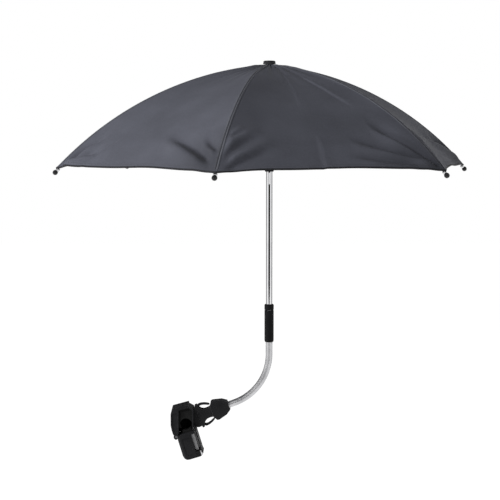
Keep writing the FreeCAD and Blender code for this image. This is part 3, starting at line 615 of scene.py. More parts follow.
def shell_faces(high: int, wide: int) -> tuple[list, set]:
    """Faces of a closed thin shell.

    Args:
        high: rows of points.
        wide: points in a row.

    Returns:
        The faces of an outer grid of points, of an inner grid that follows it and of the rim
        between them, and the rim's edges, which stay sharp.
    """
    count = high * wide
    faces = []
    sharp = set()
    for row in range(high - 1):
        for column in range(wide - 1):
            a = row * wide + column
            b = a + wide
            faces.append((a, b, b + 1, a + 1))
            faces.append((count + a, count + a + 1, count + b + 1, count + b))
    rim = list(range(wide))
    rim += [row * wide + wide - 1 for row in range(1, high)]
    rim += [(high - 1) * wide + column for column in range(wide - 2, -1, -1)]
    rim += [row * wide for row in range(high - 2, 0, -1)]
    for one, two in zip(rim, rim[1:] + rim[:1]):
        faces.append((one, two, count + two, count + one))
        sharp.add(tuple(sorted((one, two))))
        sharp.add(tuple(sorted((count + one, count + two))))
    return faces, sharp


def tube_faces(rings: int, sides: int, joined: bool = False) -> list[tuple[int, ...]]:
    """Faces of a tube made of rings of points.

    Args:
        rings: number of rings.
        sides: points in a ring.
        joined: whether the last ring joins the first one; if not, both ends are closed.

    Returns:
        Vertex numbers of each face.
    """
    faces = []
    for row in range(rings if joined else rings - 1):
        here = row * sides
        below = (row + 1) % rings * sides
        for column in range(sides):
            other = (column + 1) % sides
            faces.append((here + column, here + other, below + other, below + column))
    if not joined:
        faces.append(tuple(range(sides - 1, -1, -1)))
        faces.append(tuple(range((rings - 1) * sides, rings * sides)))
    return faces


def round_edges(piece: bpy.types.Object, width: float, segments: int) -> None:
    """Rounds all of a mesh's edges.

    Args:
        piece: the mesh object.
        width: the rounding's width in metres.
        segments: number of faces across the rounding.
    """
    form = bmesh.new()
    form.from_mesh(piece.data)
    bmesh.ops.recalc_face_normals(form, faces=form.faces)
    bmesh.ops.bevel(
        form, geom=form.edges[:], offset=width, segments=segments, profile=0.5, affect="EDGES"
    )
    form.to_mesh(piece.data)
    form.free()


def plate(name: str, front: Points, thickness: float, finish: Finish) -> bpy.types.Object:
    """Makes a flat plate across the Y axis.

    Args:
        name: the piece's name.
        front: the corners of its front, in order.
        thickness: how far it goes back, in metres.
        finish: the finish that it gets.

    Returns:
        The new piece.
    """
    back = front + np.array([0.0, thickness, 0.0])
    count = len(front)
    faces = [tuple(range(count)), tuple(range(2 * count - 1, count - 1, -1))]
    for one in range(count):
        two = (one + 1) % count
        faces.append((two, one, count + one, count + two))
    return new_piece(name, np.vstack([front, back]), faces, finish)


def unit(vectors: Points) -> Points:
    """Vectors scaled to length 1."""
    return vectors / np.maximum(np.linalg.norm(vectors, axis=-1, keepdims=True), SHORTEST)


def eased(share: Points) -> Points:
    """Smooth step from 0 at a share of 0 to 1 at a share of 1."""
    share = np.clip(share, 0.0, 1.0)
    return share * share * (3.0 - 2.0 * share)


@dataclass(frozen=True)
class Fold:
    """One pulled fold at a corner of a panel: a steep flank between a ridge and a valley.

    Places are in millimetres from the corner, along the hem and up the panel. The flank falls
    away up the panel where the drop is positive, and down the panel where it is negative. Each
    fade has the place where it starts or ends, and the length of it.
    """

    overrun: ClassVar[float] = 6.0
    first_width: ClassVar[float] = 0.65
    widening: ClassVar[float] = 0.55
    fade_in: ClassVar[tuple[float, float]] = (0.08, 0.3)
    fade_out: ClassVar[tuple[float, float]] = (1.12, 0.55)
    fade_hem: ClassVar[tuple[float, float]] = (3.0, 13.0)
    line_spread: ClassVar[float] = 0.09
    usual_drop: ClassVar[float] = 0.78
    drop_spread: ClassVar[float] = 0.16

    line: tuple[tuple[float, float], ...]
    drop: float
    half_width: float
    ease: float

    def height(self, along: Points, up: Points) -> Points:
        """Height of the fold over the smooth panel.

        Args:
            along: places along the hem, in millimetres from the corner.
            up: places up the panel, in millimetres from the corner.

        Returns:
            Heights in millimetres.
        """
        places = np.array(sorted(self.line))
        low, high = places[0, 0], places[-1, 0]
        curve = np.polyfit(places[:, 0], places[:, 1], 2)
        held = np.clip(along, low - self.overrun, high + self.overrun)
        slope = np.polyval(np.polyder(curve), held)
        off = (up - np.polyval(curve, held)) / np.sqrt(1.0 + slope * slope)
        share = (held - low) / (high - low)
        width = self.half_width * (self.first_width + self.widening * share)
        ends = eased((share + self.fade_in[0]) / self.fade_in[1])
        ends = ends * eased((self.fade_out[0] - share) / self.fade_out[1])
        ends = ends * eased((up + self.fade_hem[0]) / self.fade_hem[1])
        return -0.5 * self.drop * np.tanh(off / width) * np.exp(-((off / self.ease) ** 2)) * ends

    def varied(self, rng: np.random.Generator) -> "Fold":
        """Varies the fold for another corner.

        Args:
            rng: where the draws come from.

        Returns:
            A like fold.
        """
        stretch = 1.0 + self.line_spread * rng.normal(0.0, 1.0, 2)
        line = tuple((along * stretch[0], up * stretch[1]) for along, up in self.line)
        drop = self.drop * (self.usual_drop + self.drop_spread * rng.normal())
        return Fold(line, drop, self.half_width, self.ease)


@dataclass(frozen=True)
class Crease:
    """A sharp pressed line in a panel, between two places given as shares down and across it."""

    fade: ClassVar[float] = 0.3
    fade_end: ClassVar[float] = 1.15
    reach: ClassVar[float] = 9.0

    start: tuple[float, float]
    end: tuple[float, float]
    rise: float
    half: float

    def height(self, down: Points, across: Points) -> Points:
        """Heights of the crease above the smooth panel.

        Args:
            down: shares from the hole, 0, to the hem, 1.
            across: shares from the panel's own rib, 0, to the next one, 1.

        Returns:
            Heights in metres.
        """
        share = (down - self.start[0]) / (self.end[0] - self.start[0])
        off = (across - self.start[1] - (self.end[1] - self.start[1]) * share) / self.half
        ends = eased(share / self.fade) * eased((self.fade_end - share) / self.fade)
        return self.rise * np.tanh(off) * np.exp(-((off / self.reach) ** 2)) * ends


FRONT_NEAR = (
    Fold(((12, 22), (43, 52), (84, 70)), -12.5, 6.5, 15.0),
    Fold(((14, 7), (58, 33), (100, 49)), -13.0, 5.5, 15.0),
    Fold(((36, 66), (47, 73), (60, 79)), -4.0, 2.5, 7.0),
)
FRONT_FAR = (
    Fold(((88, 86), (46, 45), (14, 17)), 20.0, 5.6, 14.5),
    Fold(((122, 57), (66, 32), (10, 7)), 20.0, 5.4, 13.5),
    Fold(((128, 26), (84, 17), (36, 7)), 9.5, 3.4, 8.5),
)
LEFT_NEAR = (
    Fold(((12, 5), (38, 36), (60, 58)), 18.0, 4.5, 11.0),
    Fold(((12, 0), (40, 19), (68, 31)), 18.0, 4.5, 11.0),
    Fold(((50, 6), (80, 38), (97, 68)), 4.0, 2.4, 7.0),
)
LEFT_FAR = (
    Fold(((147, 66), (79, 40), (24, 14)), 19.0, 6.5, 20.0),
    Fold(((70, 63), (45, 47.5), (20, 35)), 10.5, 4.5, 13.0),
)


@dataclass
class Cover:
    """The sewn cover: six shares, one on each rib, with seams, hem and pulled folds.

    Panels and ribs are numbered from 0. Down is a share from the hole, 0, to the hem, 1, and
    across is a share from a panel's own rib, 0, to the next one, 1. Waves are counted across and
    down a panel, and their shift is from one panel to the next.
    """

    arc_radius: float = 525.0 * MM
    start_slope: float = 5.45
    rib_arc: float = 41.6
    hinge_radius: float = 9.5 * MM
    to_tip: float = 7.0 * MM
    over_rib: float = 3.4 * MM
    hole_radius: float = 5.4 * MM
    sag: float = 7.4 * MM
    sag_run: float = 1.25
    hem_bows: tuple[float, ...] = (0.027, 0.02, 0.024, 0.026, 0.025, 0.025)
    thickness: float = 0.5 * MM
    hem_depth: float = 6.0 * MM
    hem_extra: float = 0.7 * MM
    hem_step: float = 1.2 * MM
    bind_half: float = 1.05 * MM
    bind_depth: float = 1.6 * MM
    bind_sides: int = 12
    seam_half: float = 3.4 * MM
    seam_rise: float = 0.55 * MM
    seam_ends: tuple[float, float] = (0.03, 0.992)
    seam_rows: int = 150
    seam_widest: float = 0.3
    seam_profile: tuple[tuple[float, float], ...] = (
        (0.0, 0.1), (0.3, 0.12), (0.42, 1.0), (0.92, 1.0), (1.0, -0.4)
    )
    seam_edges: tuple[int, ...] = (1, 2, 6, 7)
    pleats: int = 5
    pleat_height: float = 1.2 * MM
    pleat_start: float = 0.03
    pleat_reach: float = 0.25
    pleat_wander: float = 0.35
    wander_down: float = 9.0
    wander_shift: float = 2.1
    slack_height: float = 0.35 * MM
    slack_across: float = 1.5
    slack_down: float = 0.8
    slack_shift: float = 0.37
    drape_height: float = 1.2 * MM
    drape_start: float = 0.8
    drape_length: float = 0.2
    drape_across: float = 2.0
    drape_shift: float = 0.21
    held_by_rib: float = 0.03
    creased_panel: int = 0
    creases: tuple[Crease, ...] = (
        Crease((0.78, 0.484), (1.06, 0.473), 0.6 * MM, 0.0035),
        Crease((0.25, 0.692), (0.57, 0.808), 0.75 * MM, 0.009),
        Crease((0.15, 0.478), (0.6, 0.444), 0.3 * MM, 0.009),
    )
    columns: int = 60
    rows: int = 146
    side_crowding: float = 1.25
    row_crowding: float = 0.85
    slope_step: float = 1e-3
    folded_share: float = 0.105
    lining_depths: tuple[float, ...] = (0.035, 0.1, 0.26, 0.525, 0.66, 0.84)
    lining_widths: tuple[float, ...] = (1.0, 1.0, 0.82, 0.59, 0.45, 0.255)
    lining_columns: int = 20
    lining_rows: int = 64
    lining_gap: float = 0.9 * MM
    lining_thickness: float = 0.35 * MM
    folded_lining: float = 0.4
    flat_length: float = 0.37
    area_grid: tuple[int, int] = (60, 30)
    collar_sides: int = 24
    collar: tuple[tuple[float, float], ...] = (
        (7.4, 2.1), (7.4, 2.6), (7.1, 2.85), (5.0, 2.95), (4.0, 2.85), (3.4, 2.6), (3.4, 2.1)
    )
    seed: int = 7

    def __post_init__(self) -> None:
        """Reads the ribs' places from the frame's joints."""
        low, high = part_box("shaft")
        self.axis = np.array([(low.x + high.x) / 2.0, (low.y + high.y) / 2.0, 0.0])
        self.ribs = [self._rib_direction(index) for index in range(RIBS)]
        hinge = self._joint(0)["pos_m"]
        slope = math.radians(self.start_slope)
        self.centre_r = self.hinge_radius - self.arc_radius * math.sin(slope)
        self.centre_z = hinge[2] - self.arc_radius * math.cos(slope)
        radius = self.arc_radius + self.over_rib
        self.first = math.asin((self.hole_radius - self.centre_r) / radius)
        self.last = math.radians(self.start_slope + self.rib_arc) - self.to_tip / self.arc_radius
        rng = np.random.default_rng(self.seed)
        self.folds = [self._panel_folds(index, rng) for index in range(RIBS)]

    @staticmethod
    def _joint(index: int) -> dict:
        """The fold joint of one rib."""
        name = "canopy_fold" if index == 0 else f"rib_{index + 1}_fold"
        return next(joint for joint in frame["joints"] if joint["name"] == name)

    def _rib_direction(self, index: int) -> Points:
        """Level direction of one rib, outward."""
        axis = self._joint(index)["axis"]
        return np.array([axis[1], -axis[0], 0.0])

    @staticmethod
    def _panel_folds(index: int, rng: np.random.Generator) -> tuple[tuple[Fold, ...], ...]:
        """Chooses the folds at a panel's two lower corners.

        Args:
            index: number of the panel.
            rng: where the draws for the panels away from the camera come from.

        Returns:
            The folds at its own rib, and those at the next one.
        """
        if index == 0:
            return FRONT_NEAR, FRONT_FAR
        if index == RIBS - 1:
            return LEFT_NEAR, LEFT_FAR
        near = FRONT_NEAR if index % 2 else LEFT_NEAR
        far = LEFT_FAR if index % 2 else FRONT_FAR
        near_folds = tuple(fold.varied(rng) for fold in near)
        return near_folds, tuple(fold.varied(rng) for fold in far)

    def base(self, panel: int, down: Points, across: Points) -> Points:
        """Points of a smooth panel.

        Args:
            panel: number of the panel, which starts at the rib of that number.
            down: shares down the panel.
            across: shares across the panel.

        Returns:
            Points in the row frame.
        """
        hollow = 4.0 * across * (1.0 - across)
        slope = self.first + (self.last - self.first) * down * (1.0 - self.hem_bows[panel] * hollow)
        radius = self.arc_radius + self.over_rib
        r = self.centre_r + radius * np.sin(slope)
        z = self.centre_z + radius * np.cos(slope)
        one, two = self.ribs[panel], self.ribs[(panel + 1) % RIBS]
        level = (1.0 - across)[..., None] * one + across[..., None] * two
        points = self.axis + r[..., None] * level
        points[..., 2] += z
        depth = self.sag * np.sin(np.pi * down / self.sag_run) * hollow
        return points - depth[..., None] * self._lift(panel, slope)

    def _lift(self, panel: int, slope: Points) -> Points:
        """Outward direction in the middle of a panel, at slopes along its arc.

        Args:
            panel: number of the panel.
            slope: angles from level, in radians.

        Returns:
            Directions of length 1.
        """
        middle = unit(self.ribs[panel] + self.ribs[(panel + 1) % RIBS])
        normal = np.sin(slope)[..., None] * middle
        normal[..., 2] += np.cos(slope)
        return normal

    def point_at(self, panel: int, down: float, across: float) -> Points:
        """One point of a smooth panel."""
        return self.base(panel, np.array([down]), np.array([across]))[0]

    def ripple(self, panel: int, down: Points, across: Points, points: Points) -> Points:
        """Heights of the folds, pleats and creases of a panel above its smooth shape.

        Args:
            panel: number of the panel.
            down: shares down the panel.
            across: shares across the panel.
            points: the smooth panel's points there.

        Returns:
            Heights in metres.
        """
        ends = [self.point_at(panel, 1.0, share) for share in (0.0, 1.0)]
        top = self.point_at(panel, 0.0, 0.5)
        height = np.zeros(down.shape)
        for corner, other, folds in zip(ends, ends[::-1], self.folds[panel]):
            along = unit(other - corner)
            rise = top - corner
            rise = unit(rise - along * (rise @ along))
            offset = (points - corner) / MM
            for fold in folds:
                height += fold.height(offset @ along, offset @ rise) * MM
        started = 1.0 - np.exp(-((down / self.pleat_start) ** 2))
        gather = np.exp(-((down / self.pleat_reach) ** 2)) * started
        wander = self.pleat_wander * np.sin(self.wander_down * down + self.wander_shift * panel)
        height += self.pleat_height * gather * np.sin(FULL_TURN * (self.pleats * across + wander))
        slack = self.slack_across * across + self.slack_down * down + self.slack_shift * panel
        height += self.slack_height * np.sin(FULL_TURN * slack) * np.sin(np.pi * down)
        if panel == self.creased_panel:
            for crease in self.creases:
                height += crease.height(down, across)
        drape = np.clip((down - self.drape_start) / self.drape_length, 0.0, 1.0) ** 2
        swing = self.drape_across * across + self.drape_shift * panel
        height += self.drape_height * drape * np.sin(FULL_TURN * swing)
        ridge = np.minimum(across, 1.0 - across)
        return height * (1.0 - np.exp(-((ridge / self.held_by_rib) ** 2)))

    def raised(self, panel: int, down: Points, across: Points) -> Points:
        """Points of a panel with its folds, pleats and creases.

        Args:
            panel: number of the panel.
            down: shares down the panel.
            across: shares across the panel.

        Returns:
            Points in the row frame.
        """
        points = self.base(panel, down, across)
        normal = self._lift(panel, self.first + (self.last - self.first) * down)
        return points + self.ripple(panel, down, across, points)[..., None] * normal

    def surface(self, panel: int, down: Points, across: Points) -> tuple[Points, Points]:
        """Finished middle surface of a panel.

        Args:
            panel: number of the panel.
            down: shares down the panel.
            across: shares across the panel.

        Returns:
            Points in the row frame, and their outward normals.
        """
        step = self.slope_step
        middle = self.raised(panel, down, across)
        by_down = self.raised(panel, down + step, across) - self.raised(panel, down - step, across)
        by_across = self.raised(panel, down, across + step) - self.raised(panel, down, across - step)
        return middle, unit(np.cross(by_down, by_across))

    def beside(self, index: int, down: Points, side: Points) -> tuple[Points, Points]:
        """Finished middle surface of the two half panels beside a rib.

        Args:
            index: number of the rib.
            down: shares down the panels.
            side: shares from the rib, 0, to the middles of its panels, -1 and 1.

        Returns:
            Points in the row frame, and their outward normals.
        """
        right = self.surface(index, down, np.clip(side, 0.0, 1.0) / 2.0)
        left = self.surface((index - 1) % RIBS, down, 1.0 + np.clip(side, -1.0, 0.0) / 2.0)
        on_right = (side > TINY)[..., None]
        on_left = (side < -TINY)[..., None]
        on_rib = unit(right[1] + left[1])
        normal = np.where(on_right, right[1], np.where(on_left, left[1], on_rib))
        return np.where(on_right, right[0], left[0]), normal

    @staticmethod
    def off_rib(middle: Points, side: Points) -> Points:
        """Distances of a grid's points from its middle column, with the sign of their side."""
        rib = middle[:, middle.shape[1] // 2]
        return np.linalg.norm(middle - rib[:, None], axis=-1) * np.sign(side)

    @staticmethod
    def sheet(
        name: str, outer: Points, inner: Points, flat: Points, ridge: int | None = None
    ) -> bpy.types.Object:
        """Makes a closed thin sheet of cloth.

        Args:
            name: the piece's name.
            outer: grid of points on its outside.
            inner: grid of points on its inside.
            flat: flat coordinates of each point of a grid.
            ridge: the column that stays sharp, if there is one.

        Returns:
            The new piece.
        """
        high, wide = outer.shape[:2]
        count = high * wide
        faces, sharp = shell_faces(high, wide)
        if ridge is not None:
            for a in range(ridge, count - wide, wide):
                sharp.add((a, a + wide))
                sharp.add((count + a, count + a + wide))
        points = np.vstack([outer.reshape(-1, 3), inner.reshape(-1, 3)])
        piece = new_piece(name, points, faces, CLOTH, sharp)
        lay_flat(piece, np.vstack([flat.reshape(-1, 2)] * 2))
        return piece

    def share(self, index: int) -> bpy.types.Object:
        """Builds one rib's share of the cover as a closed thin sheet.

        Args:
            index: number of the rib.

        Returns:
            The new piece, before it rides on anything.
        """
        sides = np.linspace(-1.0, 1.0, 2 * self.columns + 1)
        sides = np.sign(sides) * np.abs(sides) ** self.side_crowding
        depths = np.linspace(0.0, 1.0, self.rows) ** self.row_crowding
        down, side = np.meshgrid(depths, sides, indexing="ij")
        middle, normal = self.beside(index, down, side)
        steps = np.linalg.norm(np.diff(middle, axis=0), axis=-1)
        to_hem = np.vstack([np.cumsum(steps[::-1], axis=0)[::-1], np.zeros((1, steps.shape[1]))])
        hem = np.clip((self.hem_depth - to_hem) / self.hem_step + 0.5, 0.0, 1.0)
        half = (self.thickness + self.hem_extra * hem)[..., None] / 2.0
        outer = middle + normal * half
        inner = middle - normal * half
        flat = np.stack([self.off_rib(middle, side), to_hem], axis=-1)
        return self.sheet(f"cover_share_{index + 1}", outer, inner, flat, self.columns)

    def lining(self, index: int) -> bpy.types.Object:
        """Builds the slack lining under one share, which fills the gaps of the folded cover.

        Args:
            index: number of the rib.

        Returns:
            The new piece, before it rides on anything.
        """
        sides = np.linspace(-1.0, 1.0, 2 * self.lining_columns + 1)
        depths = np.linspace(self.lining_depths[0], self.lining_depths[-1], self.lining_rows)
        down, side = np.meshgrid(depths, sides, indexing="ij")
        side = side * np.interp(down, self.lining_depths, self.lining_widths)
        middle, normal = self.beside(index, down, side)
        outer = middle - normal * self.lining_gap
        inner = outer - normal * self.lining_thickness
        flat = np.stack([self.off_rib(middle, side), (1.0 - down) * self.flat_length], axis=-1)
        return self.sheet(f"cover_lining_{index + 1}", outer, inner, flat)

    def seam(self, index: int) -> bpy.types.Object:
        """Builds the felled seam that runs down one rib on top of the cover.

        Args:
            index: number of the rib.

        Returns:
            The new piece, before it rides on anything.
        """
        depths = np.linspace(*self.seam_ends, self.seam_rows)
        profile = [(-place, rise) for place, rise in self.seam_profile[:0:-1]]
        profile += self.seam_profile
        own, other = (self.base(index, depths, np.full_like(depths, end)) for end in (0.0, 1.0))
        chord = np.linalg.norm(own - other, axis=-1)
        rings = []
        flats = []
        for place, rise in profile:
            share = np.minimum(abs(place) * self.seam_half / chord, self.seam_widest)
            if place >= 0.0:
                points, normals = self.surface(index, depths, share)
            else:
                points, normals = self.surface((index - 1) % RIBS, depths, 1.0 - share)
            rings.append(points + normals * (self.thickness / 2.0 + self.seam_rise * rise))
            off = np.full(depths.shape, place * self.seam_half)
            flats.append(np.stack([off, (1.0 - depths) * self.flat_length], axis=-1))
        wide = len(profile)
        points = np.stack(rings, axis=1).reshape(-1, 3)
        last = (self.seam_rows - 1) * wide
        starts = range(0, last, wide)
        faces = []
        for start in starts:
            for a in range(start, start + wide - 1):
                faces.append((a, a + wide, a + wide + 1, a + 1))
        for start in starts:
            faces.append((start + wide - 1, start + 2 * wide - 1, start + wide, start))
        faces.append(tuple(range(wide)))
        faces.append(tuple(range(last + wide - 1, last - 1, -1)))
        sharp = {(start + edge, start + edge + wide) for start in starts for edge in self.seam_edges}
        piece = new_piece(f"cover_seam_{index + 1}", points, faces, SEAM, sharp)
        lay_flat(piece, np.stack(flats, axis=1).reshape(-1, 2))
        return piece

    def binding(self, index: int) -> bpy.types.Object:
        """Builds the folded tape that binds one share's hem, painted near black as the shade under the
        turned hem.

        Args:
            index: number of the rib.

        Returns:
            The new piece, before it rides on anything.
        """
        sides = np.linspace(-1.0, 1.0, 2 * self.columns + 1)
        middle, normal = self.beside(index, np.ones_like(sides), sides)
        along = unit(np.gradient(middle, axis=0))
        down = unit(np.cross(normal, along))
        down = np.where((down[:, 2] > 0.0)[:, None], -down, down)
        turns = np.linspace(0.0, FULL_TURN, self.bind_sides, endpoint=False)
        rings = []
        for turn in turns:
            over = normal * (self.bind_half * math.cos(turn))
            under = down * (self.bind_depth * math.sin(turn))
            rings.append(middle + over + under)
        points = np.stack(rings, axis=1).reshape(-1, 3)
        run = np.concatenate([[0.0], np.cumsum(np.linalg.norm(np.diff(middle, axis=0), axis=-1))])
        flat = np.stack(np.meshgrid(run, turns * MM, indexing="ij"), axis=-1).reshape(-1, 2)
        faces = tube_faces(len(sides), self.bind_sides)
        # The binding's dark colour is painted shade under the hem.
        piece = new_piece(f"cover_hem_{index + 1}", points, faces, BINDING_PAINTED_SHADE)
        lay_flat(piece, flat)
        return piece

    def build(self) -> list[bpy.types.Object]:
        """Builds all shares and seams and fixes them to the ribs.

        Returns:
            The pieces of the cover.
        """
        pieces = []
        area = self.flat_area()
        for index in range(RIBS):
            body = f"rib_{index + 1}"
            share = self.share(index)
            seam = self.seam(index)
            hem = self.binding(index)
            lining = self.lining(index)
            own = self.point_at(index, 1.0, 0.5)
            width = float(np.linalg.norm(own - self.point_at((index - 1) % RIBS, 1.0, 0.5)))
            for piece in (share, seam, hem, lining):
                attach(piece, body)
            kept = ((share, self.folded_share), (hem, self.folded_share), (lining, self.folded_lining))
            for piece, keep in kept:
                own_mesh(piece)
            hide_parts(f"canopy_{index + 1}")
            for piece in (share, seam, hem, lining):
                pieces.append(piece)
        return pieces + self.collars()

    def collars(self) -> list[bpy.types.Object]:
        """Builds the bright end of each rib between the hem and the ball of its tip.

        Returns:
            One turned piece on each rib.
        """
        slope = math.radians(self.start_slope + self.rib_arc)
        r = self.centre_r + self.arc_radius * math.sin(slope)
        z = self.centre_z + self.arc_radius * math.cos(slope)
        turns = np.linspace(0.0, FULL_TURN, self.collar_sides, endpoint=False)
        up = np.array([0.0, 0.0, 1.0])
        faces = tube_faces(len(self.collar), self.collar_sides, joined=True)
        pieces = []
        for index, level in enumerate(self.ribs):
            along = math.cos(slope) * level - math.sin(slope) * up
            across = np.cross(up, level)
            side = np.cross(along, across)
            ball = self.axis + r * level + z * up
            around = np.cos(turns)[:, None] * across + np.sin(turns)[:, None] * side
            rings = [ball - back * MM * along + radius * MM * around for back, radius in self.collar]
            piece = new_piece(f"tip_collar_{index + 1}", np.vstack(rings), faces, STEEL)
            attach(piece, f"rib_{index + 1}")
            pieces.append(piece)
        return pieces

    def flat_area(self) -> float:
        """Works out the flat area of one share's cut.

        Returns:
            The area in square metres.
        """
        high, wide = self.area_grid
        half = np.linspace(0.0, 0.5, wide)
        down, across = np.meshgrid(np.linspace(0.0, 1.0, high), half, indexing="ij")
        points = self.base(0, down, across)
        sides = np.cross(points[1:, :-1] - points[:-1, :-1], points[:-1, 1:] - points[:-1, :-1])
        return 2.0 * float(np.linalg.norm(sides, axis=-1).sum())


@dataclass
class Neck:
    """The wound flexible neck, bending between the buckle and the sleeve."""

    radius: float = 5.5 * MM
    groove: float = 0.22 * MM
    groove_share: float = 0.16
    pitch: float = 1.7 * MM
    bend_radius: float = 85.0 * MM
    turn: float = 69.3
    end_straight: float = 11.3 * MM
    top_straight: float = 20.0 * MM
    in_housing: float = 6.0 * MM
    in_sleeve: float = 8.0 * MM
    reach: float = 20.0 * MM
    sides: int = 40
    rings_per_turn: int = 8
    samples: int = 2000

    def __post_init__(self) -> None:
        """Reads the neck's upper end from the frame."""
        low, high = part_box("shaft")
        shaft_x = (low.x + high.x) / 2.0
        top_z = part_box("coupling_sleeve")[0].z
        self.centre = np.array([shaft_x - self.bend_radius, 0.0, top_z - self.top_straight])
        self.arc = self.bend_radius * math.radians(self.turn)
        self.length = self.end_straight + self.arc + self.top_straight

    def point(self, along: Points) -> tuple[Points, Points]:
        """Follows the neck's middle line.

        Args:
            along: distances from the buckle's face.

        Returns:
            Points in the row frame, and the line's headings there.
        """
        turn = math.radians(self.turn)
        angle = np.clip((along - self.end_straight) / self.bend_radius, 0.0, turn) - turn
        zero = np.zeros_like(angle)
        out = np.stack([np.cos(angle), zero, np.sin(angle)], axis=-1)
        heading = np.stack([-np.sin(angle), zero, np.cos(angle)], axis=-1)
        before = np.minimum(along - self.end_straight, 0.0)
        after = np.maximum(along - self.end_straight - self.arc, 0.0)
        return self.centre + self.bend_radius * out + heading * (before + after)[:, None], heading

    def stretch(self, name: str, start: float, end: float) -> bpy.types.Object:
        """Builds one stretch of the wound strip as a closed tube with a helical groove.

        Args:
            name: the piece's name.
            start: distance of its lower end from the buckle's face.
            end: distance of its upper end.

        Returns:
            The new piece.
        """
        count = int((end - start) / self.pitch * self.rings_per_turn) + 1
        along = np.linspace(start, end, count)
        turn = np.linspace(0.0, FULL_TURN, self.sides, endpoint=False)
        middle, heading = self.point(along)
        side = np.array([0.0, 1.0, 0.0])
        up = np.cross(heading, side)
        phase = (along[:, None] / self.pitch - turn[None, :] / FULL_TURN) % 1.0
        off_groove = np.minimum(phase, 1.0 - phase) / self.groove_share
        radius = self.radius - self.groove * np.exp(-(off_groove**2))
        ring = np.cos(turn)[None, :, None] * side + np.sin(turn)[None, :, None] * up[:, None, :]
        points = (middle[:, None, :] + radius[..., None] * ring).reshape(-1, 3)
        return new_piece(name, points, tube_faces(count, self.sides), WOUND)

    def build(self) -> list[bpy.types.Object]:
        """Builds both stretches and hides the neck nodes of the frame.

        Returns:
            The two pieces.
        """
        places = {}
        grid = np.linspace(0.0, self.length, self.samples)
        for joint in frame["joints"]:
            if joint["name"] in ("neck_bend", "neck_sway"):
                gaps = np.linalg.norm(self.point(grid)[0] - np.array(joint["pos_m"]), axis=-1)
                places[joint["name"]] = float(grid[int(np.argmin(gaps))])
        middle = (places["neck_bend"] + places["neck_sway"]) / 2.0
        lower = self.stretch("wound_neck_lower", -self.in_housing, middle)
        upper = self.stretch("wound_neck_upper", middle, self.length + self.in_sleeve)
        for piece, name, bodies in (
            (lower, "neck_bend", ("housing", "neck")),
            (upper, "neck_sway", ("neck", "stem")),
        ):
            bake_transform(piece)
        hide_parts("neck_lower", "neck_middle")
        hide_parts("neck_upper")
        return [lower, upper]


@dataclass
class Grip:
    """Soft lips in the clamp's throat, painted near black as its shade, which close it while no tube is
    in it, and the latch's link.

    The lips' outlines are in the jaw's tilt, in millimetres: along its top, and down its length,
    from the tube's axis. The link's ends are in millimetres along X and Z.
    """

    tilt: float = 17.0
    place: float = 3.0 * MM
    thickness: float = 1.4 * MM
    lower_behind: float = 1.2
    lip_edge: float = 0.4 * MM
    lip_rounds: int = 3
    upper_outline: tuple[tuple[float, float], ...] = (
        (-10.5, -9.9),
        (9.4, -9.9),
        (9.4, 6.6),
        (-8.8, 6.6),
        (-9.6, 12.4),
        (-15.6, 12.45),
        (-17.6, 11.5),
        (-17.6, 4.0),
    )
    lower_outline: tuple[tuple[float, float], ...] = (
        (-12.8, 4.4),
        (7.9, 5.2),
        (7.9, 11.5),
        (-8.6, 13.2),
        (-15.0, 13.1),
        (-15.0, 9.0),
    )
    link_ends: tuple[tuple[float, float], ...] = ((23.9, -42.6), (26.5, -49.4))
    link_half: float = 1.1 * MM
    link_front: float = -17.7 * MM
    link_thickness: float = 0.9 * MM
    link_edge: float = 0.25 * MM
    link_rounds: int = 2
    link_steps: int = 9

    def lip(self, name: str, outline: tuple, behind: float) -> bpy.types.Object:
        """Builds one lip as a thin plate with rounded edges.

        Args:
            name: the piece's name.
            outline: its corners, in the jaw's tilt.
            behind: how far it stands behind the lips' place, in metres.

        Returns:
            The new piece, before it rides on anything.
        """
        tilt = math.radians(self.tilt)
        along = np.array([math.cos(tilt), 0.0, math.sin(tilt)])
        down = np.array([math.sin(tilt), 0.0, -math.cos(tilt)])
        front = np.array([a * MM * along + b * MM * down for a, b in outline])
        front[:, 1] = self.place + behind
        # The lip is near black, painted shade of the throat's recess.
        piece = plate(name, front, self.thickness, THROAT_PAINTED_SHADE)
        round_edges(piece, self.lip_edge, self.lip_rounds)
        return piece

    def link(self) -> bpy.types.Object:
        """Builds the bright link plate on the front end of the latch's pin.

        Returns:
            The new piece, before it rides on anything.
        """
        one, two = (np.array([x * MM, self.link_front, z * MM]) for x, z in self.link_ends)
        along = unit(two - one)
        across = np.cross(along, [0.0, 1.0, 0.0])
        half_turn = np.linspace(0.0, math.pi, self.link_steps)
        ends = []
        for centre, start in ((two, 0.0), (one, math.pi)):
            for turn in half_turn + start:
                out = math.cos(turn) * across + math.sin(turn) * along
                ends.append(centre + self.link_half * out)
        piece = plate("latch_link", np.array(ends), self.link_thickness, STEEL)
        round_edges(piece, self.link_edge, self.link_rounds)
        return piece

    def build(self) -> list[bpy.types.Object]:
        """Builds both lips and the link and fixes them to the clamp and the jaw.

        Returns:
            The three pieces.
        """
        behind = self.lower_behind * self.thickness
        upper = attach(self.lip("throat_lip_upper", self.upper_outline, 0.0), "clamp")
        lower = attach(self.lip("throat_lip_lower", self.lower_outline, behind), "jaw")
        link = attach(self.link(), "jaw")
        return [upper, lower, link]


